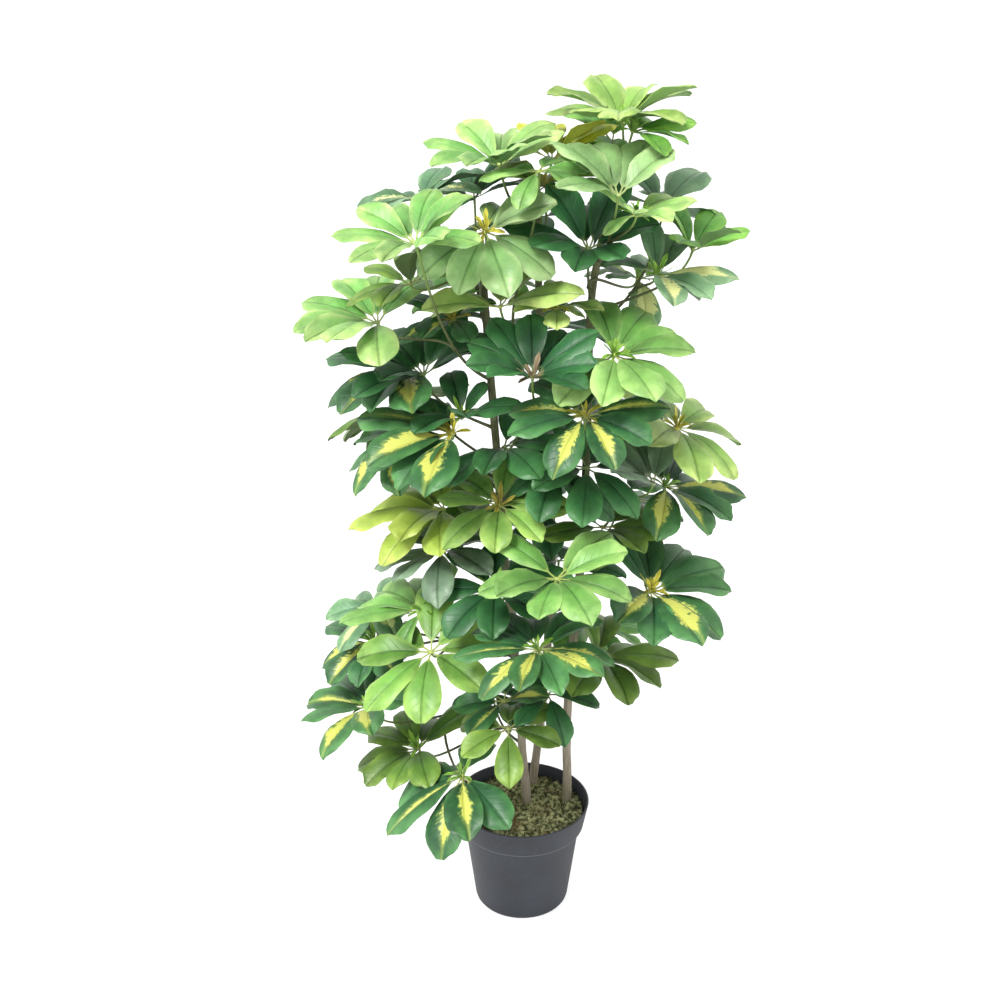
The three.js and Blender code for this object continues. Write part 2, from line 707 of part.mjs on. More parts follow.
// From the front to the back, each leaflet takes the first try that clears what is already there,
// and one that finds no room isn't grown.
const tries = SHORTER.flatMap((shorter) => BENDS.map((bend) => ({ shorter, bend })));
const frontFirst = sprays.flatMap((spray) => spray.umbrellas).sort((a, b) => a.hub.y - b.hub.y);
frontFirst.forEach((umbrella) => {
  umbrella.leaflets = [];
  for (let leaflet = 0; leaflet < umbrella.count; leaflet += 1) {
    for (const attempt of tries) {
      const surface = leafletSurface(umbrella, leaflet, attempt);
      const faces = LEAFLET_FACES.map((corners) => {
        const at = corners.map((k) => surface.corners[k]);
        return { corners: at, ball: ballRound(at) };
      });
      const ball = ballRound(surface.corners);
      if (clearsBlades(faces, ball, umbrella.index) && clearsRods(faces, ball, umbrella.index)) {
        umbrella.leaflets[leaflet] = surface;
        blades.push({ owner: umbrella.index, faces, ball });
        break;
      }
    }
  }
});

// ---------------------------------------------------------------- umbrellas and sprays as solids

// Faces between two rings round the same axis, the outer one given first, seen from below.
function zipRings(outer, inner) {
  const faces = [];
  const turnOf = (ring, k) => ring[k % ring.length].angle + 2 * Math.PI * Math.floor(k / ring.length);
  const sorted = (ring) => [...ring].sort((a, b) => a.angle - b.angle);
  const far = sorted(outer);
  const near = sorted(inner);
  let i = 0;
  let j = 0;
  while (i < far.length || j < near.length) {
    const outerAt = far[i % far.length].at;
    const innerAt = near[j % near.length].at;
    if (j >= near.length || (i < far.length && turnOf(far, i + 1) < turnOf(near, j + 1))) {
      i += 1;
      faces.push([far[i % far.length].at, outerAt, innerAt]);
    } else {
      j += 1;
      faces.push([outerAt, innerAt, near[j % near.length].at]);
    }
  }
  return faces;
}

// One closed solid: the petiole, the hub's small polygon on its end and a thin leaflet grown from
// each of the polygon's edges.
function umbrellaGeometry(umbrella) {
  const { hub, axis, count, fan, leaflets, petiole } = umbrella;
  const { corners, faces } = openBar(petiole, stemRadius, STEM.sides, STEM.steps);
  const half = BLADE.thickness / 2;
  const addPair = (at, normal) => {
    corners.push(at.clone().addScaledVector(normal, half), at.clone().addScaledVector(normal, -half));
    return corners.length - 2;
  };
  const wall = (from, to) => faces.push([from, from + 1, to + 1], [from, to + 1, to]);
  const { side, front } = crossAxes(axis);
  const withAngle = (at) => {
    const from = corners[at].clone().sub(hub);
    return { at, angle: Math.atan2(from.dot(front), from.dot(side)) };
  };
  const lastRing = STEM.steps * STEM.sides;
  const petioleRing = Array.from({ length: STEM.sides }, (_, k) => withAngle(lastRing + k));
  const roots = Array.from({ length: count }, (_, k) => leafletHeading(umbrella, k).roots[0]);
  if (fan < 1) roots.push(leafletHeading(umbrella, count - 1).roots[1]);
  const rootAt = roots.map((root) => addPair(root, axis));
  faces.push(...zipRings(rootAt.map((at) => withAngle(at + 1)), petioleRing));
  for (let k = 1; k < rootAt.length - 1; k += 1) faces.push([rootAt[0], rootAt[k], rootAt[k + 1]]);
  for (let k = 0; k < rootAt.length; k += 1) {
    const at = [rootAt[k], rootAt[(k + 1) % rootAt.length]];
    const surface = leaflets[k];
    if (!surface) {
      wall(at[0], at[1]);
      continue;
    }
    for (let c = 2; c < surface.corners.length; c += 1) {
      at.push(addPair(surface.corners[c], surface.normals[c]));
    }
    LEAFLET_FACES.forEach(([a, b, c]) => {
      faces.push([at[a], at[b], at[c]], [at[a] + 1, at[c] + 1, at[b] + 1]);
    });
    for (let e = 0; e < LEAFLET_EDGE.length - 1; e += 1) wall(at[LEAFLET_EDGE[e]], at[LEAFLET_EDGE[e + 1]]);
  }
  return geometryOf(corners, faces);
}

// A spray is its umbrellas fused where the second petiole leaves the first. Of what fusing leaves,
// the largest body is the spray.
function spraySolid({ umbrellas }) {
  const grown = umbrellas.map((umbrella) => solidFrom(umbrellaGeometry(umbrella)));
  const fused = grown.reduce((a, b) => a.add(b));
  return fused.decompose().reduce((a, b) => (a.volume() > b.volume() ? a : b));
}

// The plain hole in the trunk that a spray's stem stands in, in line with the stem's first stretch.
function socketSolid({ root, umbrellas }) {
  const along = umbrellas[0].petiole.getPointAt(1 / STEM.steps).sub(root).normalize();
  const inner = root.clone().addScaledVector(along, -GAP);
  const mouth = root.clone().addScaledVector(along, SOCKET.depth);
  return solidFrom(bar(new THREE.LineCurve3(inner, mouth), () => SOCKET.radius, SOCKET.sides, 1));
}

// ---------------------------------------------------------------- assembly

const plant = new THREE.Group();

plant.add(meshFrom('pot', potGeometry(), material(COLOURS.pot, 0.55)));

let filler = solidFrom(fillerGeometry());
let moss = solidFrom(mossGeometry());
Object.keys(TRUNKS).forEach((name) => {
  const hole = trunkSolid(name, GAP / Math.cos(Math.PI / TRUNK.sides));
  filler = filler.subtract(hole);
  moss = moss.subtract(hole);
});
plant.add(meshFrom('filler', geometryFrom(filler), material(COLOURS.filler, 0.95)));
plant.add(meshFrom('moss', geometryFrom(moss), material(COLOURS.moss, 1)));

Object.keys(TRUNKS).forEach((name) => {
  let trunk = trunkSolid(name);
  sprays.filter((spray) => spray.trunk === name).forEach((spray) => {
    trunk = trunk.subtract(socketSolid(spray));
  });
  plant.add(meshFrom(`trunk_${name}`, geometryFrom(trunk), material(COLOURS.bark, 0.9)));
});

sprays.forEach((spray) => {
  const leaf = material(COLOURS[spray.leaf], 0.5);
  plant.add(meshFrom(`spray_${spray.name}`, geometryFrom(spraySolid(spray)), leaf));
});

export default plant;
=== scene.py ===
# %% [markdown]
# # A potted umbrella plant
# This lesson dresses a packed plant in its looks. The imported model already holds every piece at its
# real size and place: a nursery pot, the filler and moss in it, three trunks, and leafy sprays that
# are plugged into the trunks. Each of those pieces but the filler is made again here as a finer
# surface in the same place, and all of them get a material. The scene is in metres with +Z up, the
# front faces -Y, and tables and functions that make shapes count in millimetres.

import itertools
import math

import bpy
import numpy as np
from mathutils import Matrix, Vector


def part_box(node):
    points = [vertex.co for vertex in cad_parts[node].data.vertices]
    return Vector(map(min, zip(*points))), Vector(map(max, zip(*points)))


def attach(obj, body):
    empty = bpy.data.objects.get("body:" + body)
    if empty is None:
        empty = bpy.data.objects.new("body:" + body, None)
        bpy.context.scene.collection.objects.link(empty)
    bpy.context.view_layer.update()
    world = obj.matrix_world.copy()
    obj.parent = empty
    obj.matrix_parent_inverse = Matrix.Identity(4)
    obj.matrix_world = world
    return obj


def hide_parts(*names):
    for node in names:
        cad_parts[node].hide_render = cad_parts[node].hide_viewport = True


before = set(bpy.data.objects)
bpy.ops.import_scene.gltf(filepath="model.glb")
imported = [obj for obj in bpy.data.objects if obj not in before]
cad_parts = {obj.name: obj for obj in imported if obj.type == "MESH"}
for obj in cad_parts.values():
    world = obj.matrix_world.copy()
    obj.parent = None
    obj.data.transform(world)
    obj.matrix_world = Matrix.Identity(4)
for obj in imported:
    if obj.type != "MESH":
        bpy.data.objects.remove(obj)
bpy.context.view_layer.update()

# %% [markdown]
# ## Camera
# The plant is seen from a little above its top, so the camera looks down by some twenty degrees,
# far enough away for a lens that hardly stretches the near leaves.

# %% Camera
LENS_MM = 48
SENSOR_MM = 36
CAMERA_PLACE = (-0.030, -1.540, 1.175)
LOOK_DOWN_DEGREES = 21

camera = bpy.data.objects.new("camera", bpy.data.cameras.new("camera"))
camera.data.lens = LENS_MM
camera.data.sensor_width = SENSOR_MM
camera.location = CAMERA_PLACE
camera.rotation_euler = (math.radians(90 - LOOK_DOWN_DEGREES), 0, 0)
bpy.context.scene.collection.objects.link(camera)
bpy.context.scene.camera = camera
print("camera at", CAMERA_PLACE)

# %% Numbers to meshes
MM = 0.001


def grid_faces(rows, columns, around=False):
    """Quads between the points of a grid that are stored row by row. With around, the last column
    meets the first, as on a tube. A face's corners go down a row, across, and back up."""
    row, column = np.meshgrid(np.arange(rows - 1), np.arange(columns - (not around)), indexing="ij")
    here = row * columns + column
    beside = row * columns + (column + 1) % columns
    return np.stack([here, here + columns, beside + columns, beside], axis=-1).reshape(-1, 4)


def new_mesh(name, points_mm, quads, triangles=()):
    """A mesh from arrays: points in millimetres, and the corners of its quads and triangles."""
    triangles = np.reshape(triangles, (-1, 3)).astype(np.int32)
    corners = np.concatenate([np.ravel(quads), np.ravel(triangles)]).astype(np.int32)
    sizes = np.repeat([4, 3], [len(quads), len(triangles)])
    mesh = bpy.data.meshes.new(name)
    mesh.vertices.add(len(points_mm))
    mesh.loops.add(len(corners))
    mesh.polygons.add(len(sizes))
    mesh.vertices.foreach_set("co", np.ravel(np.asarray(points_mm) * MM).astype(np.float32))
    mesh.loops.foreach_set("vertex_index", corners)
    mesh.polygons.foreach_set("loop_start", (np.cumsum(sizes) - sizes).astype(np.int32))
    mesh.update(calc_edges=True)
    mesh.shade_smooth()
    return mesh


def new_piece(mesh, materials, nodes=()):
    """An object of the plant at the origin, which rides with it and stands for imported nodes."""
    piece = bpy.data.objects.new(mesh.name, mesh)
    bpy.context.scene.collection.objects.link(piece)
    for material in materials:
        mesh.materials.append(material)
    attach(piece, "root")
    if nodes:
        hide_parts(*nodes)
    return piece


# %% [markdown]
# ## Small tools for materials
# A material is a network of nodes. Adding them one by one is wordy, so a helper adds a node, sets
# its values and links its sockets in a single call. Colours are named as they look on a screen, and
# turned to the linear values that light is worked out with.


# %% Nodes and patterns
def screen_colour(code):
    """A colour such as "7cc44a" as the linear red, green, blue and alpha that shaders use."""
    shares = np.array([int(code[k:k + 2], 16) / 255 for k in (0, 2, 4)])
    linear = np.where(shares <= 0.04045, shares / 12.92, ((shares + 0.055) / 1.055) ** 2.4)
    return (*linear.tolist(), 1.0)


def add_node(tree, kind, inputs=None, **settings):
    """Adds a node to a tree. A value in inputs is a socket to link from or a plain value."""
    node = tree.nodes.new(kind)
    for name, value in settings.items():
        setattr(node, name, value)
    for name, value in (inputs or {}).items():
        if isinstance(value, bpy.types.NodeSocket):
            tree.links.new(value, node.inputs[name])
        else:
            node.inputs[name].default_value = value
    return node


def calculate(tree, operation, *values):
    """One Math node's result."""
    return add_node(tree, "ShaderNodeMath", dict(enumerate(values)), operation=operation).outputs[0]


def smooth_step(tree, value, low, high):
    """0 below low, 1 above high, and a smooth ramp between. With low above high it falls."""
    values = {"Value": value, "From Min": low, "From Max": high}
    return add_node(tree, "ShaderNodeMapRange", values, interpolation_type="SMOOTHSTEP").outputs[0]


def noise(tree, place, scale, detail, roughness=0.5):
    """A Noise texture's value at a place, from 0 to 1. Its detail is how many finer layers it has,
    and its roughness is how much they count."""
    values = {"Vector": place, "Scale": scale, "Detail": detail, "Roughness": roughness}
    return add_node(tree, "ShaderNodeTexNoise", values).outputs[0]


def object_place(tree):
    """The place on the plant in metres, which every pattern that doesn't follow a leaf uses."""
    return add_node(tree, "ShaderNodeTexCoord").outputs["Object"]


def coordinate(tree, vector, axis):
    """One of a vector's three coordinates."""
    return add_node(tree, "ShaderNodeSeparateXYZ", {0: vector}).outputs[axis]


def stretched(tree, place, scales):
    """A place with each axis scaled on its own, so that noise on it has another size along each."""
    return add_node(tree, "ShaderNodeMapping", {"Vector": place, "Scale": scales}).outputs[0]


# %% Colours laid over each other
def mix_colours(tree, share, first, second, blend="MIX"):
    """Two colours mixed by a share, or multiplied where blend says so."""
    node = add_node(tree, "ShaderNodeMix", {"Factor": share}, data_type="RGBA", blend_type=blend)
    for socket, value in ((node.inputs[6], first), (node.inputs[7], second)):
        if isinstance(value, bpy.types.NodeSocket):
            tree.links.new(value, socket)
        else:
            socket.default_value = value
    return node.outputs[2]


def shades(tree, share, codes):
    """A colour between two screen colours."""
    return mix_colours(tree, share, *map(screen_colour, codes))


def stain(tree, colour, code, where, start, full, strength):
    """A colour with a stain over it. The stain begins where a pattern reaches start, and covers as
    much as its strength says where the pattern has reached full."""
    share = calculate(tree, "MULTIPLY", smooth_step(tree, where, start, full), strength)
    return mix_colours(tree, share, colour, screen_colour(code))


# %% Groups and materials
def new_group(name, inputs, outputs):
    """An empty node group with named sockets, and its inner input and output nodes."""
    group = bpy.data.node_groups.new(name, "ShaderNodeTree")
    for way, sockets in (("INPUT", inputs), ("OUTPUT", outputs)):
        for label, kind in sockets.items():
            group.interface.new_socket(label, in_out=way, socket_type="NodeSocket" + kind)
    start = group.nodes.new("NodeGroupInput")
    end = group.nodes.new("NodeGroupOutput")
    return group, start.outputs, end.inputs


def new_material(name, roughness=0.5):
    """A material with one Principled shader, and its node tree and shader."""
    material = bpy.data.materials.new(name)
    material.use_nodes = True
    tree = material.node_tree
    shader = tree.nodes["Principled BSDF"]
    shader.inputs["Roughness"].default_value = roughness
    return material, tree, shader


def bump(tree, shader, height, distance):
    """Tilts a shader's normals by a height, whose full range stands for a distance in metres."""
    values = {"Height": height, "Distance": distance}
    tree.links.new(add_node(tree, "ShaderNodeBump", values).outputs[0], shader.inputs["Normal"])


# %% [markdown]
# ## A white sweep and soft light
# The photograph has no horizon and next to no shadow: the floor and the wall behind are one pure
# white. So the floor glows a little for the camera alone, and so does the sky. For the plant, the
# sky is dimmer, brightest at the horizon, and one broad sun from the upper left in front gives each
# leaf a lit and a shaded side.

# %% Floor and sky
FLOOR_HALF_M = 12
FLOOR_GLOW = 0.80
FLOOR_SEEN = "a4a4a4"
FLOOR_LIGHTING = "e0e0df"
FLOOR_SHINE = 0.1
SKY_SEEN = 1.06
SKY_HORIZON = 1.15
SKY_ZENITH = 0.72
SKY_DIMS_FROM_TO = (0.0, 0.9)
WHITE = (1, 1, 1, 1)

floor_mesh = bpy.data.meshes.new("floor")
signs = ((-1, -1), (1, -1), (1, 1), (-1, 1))
floor_corners = [(x * FLOOR_HALF_M, y * FLOOR_HALF_M, 0) for x, y in signs]
floor_mesh.from_pydata(floor_corners, [], [(0, 1, 2, 3)])
floor = bpy.data.objects.new("floor", floor_mesh)
bpy.context.scene.collection.objects.link(floor)

floor_material, floor_tree, floor_shader = new_material("white_floor", roughness=0.7)
floor_shader.inputs["Specular IOR Level"].default_value = FLOOR_SHINE
floor_shader.inputs["Emission Color"].default_value = WHITE
seen = add_node(floor_tree, "ShaderNodeLightPath").outputs["Is Camera Ray"]
floor_glow = calculate(floor_tree, "MULTIPLY", seen, FLOOR_GLOW)
floor_tree.links.new(floor_glow, floor_shader.inputs["Emission Strength"])
floor_colour = shades(floor_tree, seen, (FLOOR_LIGHTING, FLOOR_SEEN))
floor_tree.links.new(floor_colour, floor_shader.inputs["Base Color"])
floor_mesh.materials.append(floor_material)

world = bpy.data.worlds.new("white_sky")
world.use_nodes = True
sky = world.node_tree
direction = add_node(sky, "ShaderNodeTexCoord").outputs["Generated"]
higher = smooth_step(sky, coordinate(sky, direction, 2), *SKY_DIMS_FROM_TO)
lighting = calculate(sky, "MULTIPLY_ADD", higher, SKY_ZENITH - SKY_HORIZON, SKY_HORIZON)
seen = add_node(sky, "ShaderNodeLightPath").outputs["Is Camera Ray"]
shown = calculate(sky, "MAXIMUM", calculate(sky, "MULTIPLY", seen, SKY_SEEN), lighting)
sky.links.new(shown, sky.nodes["Background"].inputs["Strength"])
sky.nodes["Background"].inputs["Color"].default_value = WHITE
bpy.context.scene.world = world
bpy.context.scene.view_settings.view_transform = "Standard"
print("floor half width:", FLOOR_HALF_M, "m")

# %% Sun
SUN_STRENGTH = 2.85
SUN_WIDTH_DEGREES = 22
SUN_FROM = (-0.55, -0.75, 1.15)

sun = bpy.data.objects.new("soft_sun", bpy.data.lights.new("soft_sun", "SUN"))
sun.data.energy = SUN_STRENGTH
sun.data.angle = math.radians(SUN_WIDTH_DEGREES)
sun.rotation_euler = (
    math.atan2(math.hypot(SUN_FROM[0], SUN_FROM[1]), SUN_FROM[2]),
    0,
    math.atan2(SUN_FROM[0], -SUN_FROM[1]),
)
bpy.context.scene.collection.objects.link(sun)
print("sun from", SUN_FROM)

# %% [markdown]
# ## Where everything grows
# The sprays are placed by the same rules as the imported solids: a trunk is a curve through a few
# points, an umbrella is a hub on the end of a petiole with leaflets round it, and every small
# difference between leaflets comes from one seeded draw. Repeating the rules here gives the finer
# leaves the very same arcs. Sizes in these tables are in millimetres.

# %% The trunks' middle lines
TRUNKS = {
    "left": [
        (10, 12, 50), (7, 9, 138), (0, 5, 222), (-4, 0, 300),
        (-24, 0, 503), (-34, -10, 650), (-48, 0, 835), (-53, 2, 905),
    ],
    "middle": [
        (12, 48, 50), (16, 59, 138), (27, 54, 256), (37, 45, 497),
        (26, 40, 661), (17, 35, 827), (13, 30, 925),
    ],
    "right": [
        (52, 16, 50), (61, 16, 138), (59, 10, 267), (67, 5, 417),
        (74, 0, 544), (76, 0, 713), (78, 0, 847), (98, 0, 955),
    ],
}


def curve_points(points, shares):
    """A centripetal Catmull-Rom curve at shares of its length in segments. Each segment is a cubic
    whose end slopes come from its neighbours, weighed by the square roots of the distances."""
    line = np.array(points, float)
    line = np.vstack([2 * line[0] - line[1], line, 2 * line[-1] - line[-2]])
    at = np.clip(shares, 0, 1) * (len(points) - 1)
    segment = np.minimum(at.astype(int), len(points) - 2)
    t = (at - segment)[:, None]
    before, start, end, after = (line[segment + k] for k in range(4))
    gaps = [np.sqrt(np.linalg.norm(b - a, axis=1))[:, None]
            for a, b in ((before, start), (start, end), (end, after))]
    slope_in = ((start - before) / gaps[0] - (end - before) / (gaps[0] + gaps[1])
                + (end - start) / gaps[1]) * gaps[1]
    slope_out = ((end - start) / gaps[1] - (after - start) / (gaps[1] + gaps[2])
                 + (after - end) / gaps[2]) * gaps[1]
    square = -3 * start + 3 * end - 2 * slope_in - slope_out
    cube = 2 * start - 2 * end + slope_in + slope_out
    return start + slope_in * t + square * t**2 + cube * t**3


HALVINGS = 30


def trunk_point(name, height):
    """The point of a trunk's middle line at a height, found by halving."""
    low, high = 0.0, 1.0
    for _ in range(HALVINGS):
        half = (low + high) / 2
        if curve_points(TRUNKS[name], np.array([half]))[0, 2] < height:
            low = half
        else:
            high = half
    return curve_points(TRUNKS[name], np.array([low]))[0]


print("the left trunk at 300 mm:", trunk_point("left", 300).round(1))


# %% The sprays
def umbrella(place, length, count, cup, finish, lean=(0, 0), fan=1.0, facing=None, tuft=None):
    """One umbrella: its hub, its leaflets' length, number and extra cup, its finish, extra lean,
    the share of the circle that the leaflets fill, the middle of that share in degrees from +X
    towards +Y, and the colour of the young tuft on its hub."""
    return dict(hub=np.array(place, float), length=length, count=count, cup=cup,
                finish=finish, lean=lean, fan=fan, facing=facing, tuft=tuft)


SPRAYS = {
    "crown_bright": ("right", 950, [
        umbrella((108, 12, 1034), 94, 9, 25, "fresh", (-0.24, 0.14), tuft="young_green")]),
    "crown_green": ("right", 915, [
        umbrella((100, 50, 1010), 92, 6, 26, "green", fan=0.6, facing=172),
        umbrella((116, -25, 1028), 66, 4, 14, "green", fan=0.45, facing=-5, tuft="young_green")]),
    "crown_mint": ("middle", 915, [
        umbrella((-30, -10, 990), 84, 9, 28, "mint", (-0.05, 0.08)),
        umbrella((30, 30, 992), 78, 6, 34, "yellow", (0, 0.1), 0.6, 70)]),
    "shoulder_sage": ("right", 880, [
        umbrella((97, -90, 968), 84, 6, 34, "sage", (0, 0.05), 0.62, 125),
        umbrella((118, -80, 945), 60, 6, 26, "mint", fan=0.8, facing=-80, tuft="young_green")]),
    "crown_olive": ("middle", 865, [
        umbrella((22, 0, 965), 86, 8, 0, "olive", (0, -0.1), tuft="young_brown"),
        umbrella((20, 100, 915), 88, 8, 0, "dark")]),
    "left_sage": ("left", 850, [
        umbrella((-46, -66, 925), 88, 7, 2, "sage", (0, -0.45), 0.74, -35, tuft="young_yellow"),
        umbrella((-132, -40, 862), 72, 7, 18, "olive")]),
    "left_shadow": ("left", 800, [
        umbrella((-60, 40, 947), 74, 7, 24, "dark"),
        umbrella((-55, 110, 825), 90, 8, 0, "green")]),
    "left_marbled_high": ("left", 890, [
        umbrella((-120, 10, 950), 76, 7, 8, "marbled_pale")]),
    "left_mint": ("left", 740, [
        umbrella((-120, -118, 922), 80, 10, 26, "mint", (0.1, 0), 0.95, 95),
        umbrella((-172, -20, 812), 98, 8, 18, "mint", (0.1, 0), 0.7, 168)]),
    "heart_dark_high": ("right", 835, [
        umbrella((70, -30, 900), 90, 9, 22, "dark", (-0.1, -0.05)),
        umbrella((135, 50, 850), 80, 7, 6, "marbled_pale", tuft="young_green")]),
    "right_marbled_high": ("right", 800, [
        umbrella((160, 30, 938), 98, 8, 22, "marbled_pale", (-0.1, 0.1), 0.7, 45),
        umbrella((150, -20, 868), 84, 7, 16, "marbled_pale", (0, 0.05), 0.75, 30,
                 tuft="young_green")]),
    "right_green": ("right", 818, [
        umbrella((192, -5, 894), 72, 6, 40, "green", (0.02, 0))]),
    "heart_bright": ("middle", 770, [
        umbrella((-30, -50, 838), 92, 7, 10, "fresh", fan=0.66, facing=85),
        umbrella((34, -30, 832), 60, 6, 12, "fresh", tuft="young_yellow"),
        umbrella((12, -66, 990), 58, 6, 0, "bright")]),
    "left_marbled_inner": ("left", 765, [
        umbrella((-85, 0, 812), 70, 7, 8, "marbled", tuft="young_yellow")]),
    "heart_dark_low": ("right", 615, [
        umbrella((72, -62, 648), 82, 7, 0, "dark")]),
    "front_dark": ("middle", 700, [
        umbrella((6, -110, 772), 80, 9, 30, "dark", (0, 0.05), 0.84, 90, tuft="young_pink"),
        umbrella((-25, -20, 660), 84, 8, 8, "dark")]),
    "left_dark": ("left", 680, [
        umbrella((-120, -20, 750), 92, 9, 26, "dark", (0.05, 0), 0.75, 120),
        umbrella((-75, -30, 700), 74, 6, 30, "dark", tuft="young_green")]),
    "left_marbled": ("left", 635, [
        umbrella((-140, 20, 745), 106, 7, 8, "marbled", fan=0.6, facing=185),
        umbrella((-85, -60, 690), 112, 7, 4, "marbled", fan=0.48, facing=185,
                 tuft="young_yellow")]),
    "left_marbled_low": ("left", 615, [
        umbrella((-150, 10, 665), 88, 7, -8, "marbled", fan=0.75)]),
    "front_marbled": ("right", 690, [
        umbrella((65, -120, 730), 86, 9, 4, "marbled", tuft="young_yellow")]),
    "right_bright": ("right", 650, [
        umbrella((98, -90, 792), 92, 8, 14, "bright", (0.05, -0.08), 0.75, -18, tuft="young_green"),
        umbrella((182, -20, 684), 92, 8, 2, "fresh", (-0.02, 0.02), tuft="young_yellow")]),
    "right_grey": ("right", 590, [
        umbrella((150, -72, 632), 82, 5, 30, "grey", fan=0.5, facing=150),
        umbrella((95, -30, 560), 76, 7, 10, "olive")]),
    "right_marbled": ("right", 500, [
        umbrella((175, 10, 598), 96, 8, 6, "marbled", (0.1, 0), 0.75, -10, tuft="young_green"),
        umbrella((154, -60, 488), 102, 9, 12, "marbled", fan=0.78, facing=0, tuft="young_yellow")]),
    "left_lime": ("left", 560, [
        umbrella((-100, 0, 572), 108, 8, 8, "lime", (0, 0.05), 0.56, 180),
        umbrella((-30, -60, 600), 80, 8, 4, "fern", (0, -0.05), tuft="young_brown")]),
    "left_olive": ("left", 525, [
        umbrella((-45, 30, 570), 76, 7, 0, "olive"),
        umbrella((-85, 120, 510), 90, 8, 0, "green")]),
    "heart_dark": ("middle", 540, [
        umbrella((35, -40, 640), 88, 8, 0, "dark"),
        umbrella((20, 40, 555), 80, 7, 0, "dark")]),
    "left_grey": ("left", 485, [
        umbrella((-100, -20, 525), 84, 8, 4, "grey")]),
    "front_bright": ("middle", 470, [
        umbrella((35, -150, 545), 90, 8, 14, "bright", (0, 0.2), 0.86, -85)]),
    "front_gloss": ("left", 450, [
        umbrella((-35, -70, 495), 86, 8, 4, "dark", tuft="young_green")]),
    "left_low_bright": ("left", 390, [
        umbrella((-126, -40, 452), 94, 7, 16, "bright", (0, 0.1), 0.62, 160, tuft="young_green"),
        umbrella((-114, -90, 420), 96, 8, 2, "fern", (0, 0.05))]),
    "left_low_marbled": ("left", 365, [
        umbrella((-188, 30, 425), 74, 7, 0, "marbled_pale", (0.1, 0)),
        umbrella((-195, 20, 378), 80, 7, 0, "marbled", (0.1, 0), 0.75, tuft="young_green")]),
    "front_low_marbled": ("left", 345, [
        umbrella((15, -150, 455), 90, 11, 4, "marbled", (0, 0.26), tuft="young_green"),
        umbrella((-25, -60, 335), 66, 7, -4, "marbled")]),
    "right_low_olive": ("right", 320, [
        umbrella((97, -20, 377), 92, 8, 6, "olive", (0.1, 0.08), 0.85, -15)]),
    "front_low_olive": ("left", 310, [
        umbrella((-20, -110, 325), 70, 6, 0, "olive"),
        umbrella((30, -70, 350), 66, 6, -4, "dark")]),
    "base_marbled": ("left", 285, [
        umbrella((-200, -20, 304), 94, 8, 20, "marbled", (0, 0.1), 0.9, 178, tuft="young_green"),
        umbrella((-76, -130, 270), 104, 8, -12, "marbled", (-0.05, 0.28), 0.72, 190,
                 tuft="young_green")]),
    "base_olive": ("left", 260, [
        umbrella((-135, -50, 260), 84, 8, 4, "olive", (-0.05, 0.12), 0.8, 160,
                 tuft="young_green")]),
    "base_dark": ("left", 235, [
        umbrella((-40, 10, 310), 64, 6, 0, "dark")]),
    "back_high_dark": ("middle", 640, [
        umbrella((25, 120, 770), 92, 8, 0, "dark"),
        umbrella((100, 140, 670), 92, 8, 0, "dark")]),
    "back_low_dark": ("middle", 330, [
        umbrella((50, 130, 445), 92, 8, 0, "dark"),
        umbrella((0, 120, 360), 88, 8, 0, "dark")]),
    "back_right_marbled": ("middle", 440, [
        umbrella((130, 120, 540), 88, 8, 0, "marbled")]),
    "back_low_green": ("right", 350, [
        umbrella((90, 100, 360), 84, 8, 0, "green")]),
    "back_left_olive": ("left", 600, [
        umbrella((-160, 110, 665), 90, 8, 0, "olive")]),
}
print("umbrellas:", sum(len(umbrellas) for _, _, umbrellas in SPRAYS.values()))

# %% The rules of growth
GOLDEN = 0.6180339887498949
UP = np.array([0.0, 0.0, 1.0])
# a hub's place gives its umbrella's seed
SEED_START = 10000
SEED_WEIGHTS = (3, 7, 11)
# how far an umbrella leans: by its distance from the trunks, to the front, and at random
LEAN = dict(outward=0.0017, front=0.16, front_up_to=70, scatter=0.1)
# a petiole's slope at its foot, its handles as shares of its span, and where it forks
PETIOLE = dict(slope=0.45, foot_handle=0.4, hub_handle=0.35, fork=0.35)
STEM_RADII = (1.9, 1.25)
HUB_RADIUS = 4.2
# a packed blade: millimetres, its width by its length, degrees, and leaflets that need no thinning
BLADE = dict(thickness=0.8, width_share=0.44, rise=10, droop=40, layered=4, crowded=9)
TIP_HALF = 0.4
VARIATION = dict(heading=0.1, length=0.09, rise=7, droop=12, twist=12)
# what is tried in turn where leaflets would have met: shares of the length, and degrees
SHORTER = (1, 0.82, 0.66)
BENDS = (0, -7, 7, -14, 14, -21, 21, -28, 28, -35, 35)


def draw(seed):
    """The seeded draw behind every small variation: an even spread of values from -1 to 1."""
    return 2 * ((seed * GOLDEN) % 1) - 1


def unit(vector):
    """A vector at length one."""
    return vector / np.linalg.norm(vector)


def lay_umbrella(rib):
    """Finds which way an umbrella faces: up, away from the trunks, and a little to the front."""
    rib["seed"] = SEED_START + rib["hub"] @ SEED_WEIGHTS
    middle = sum(trunk_point(name, rib["hub"][2]) for name in TRUNKS) / len(TRUNKS)
    out = (rib["hub"] - middle) * (1, 1, 0) * LEAN["outward"]
    towards_front = LEAN["front"] if rib["hub"][1] < LEAN["front_up_to"] else 0
    axis = UP + out + (
        rib["lean"][0] + LEAN["scatter"] * draw(rib["seed"] + 1),
        rib["lean"][1] + LEAN["scatter"] * draw(rib["seed"] + 2) - towards_front,
        0,
    )
    rib["out"] = out
    rib["axis"] = unit(axis)
    rib["side"] = unit(np.array([1.0, 0, 0]) - rib["axis"] * rib["axis"][0])
    rib["front"] = np.cross(rib["axis"], rib["side"])


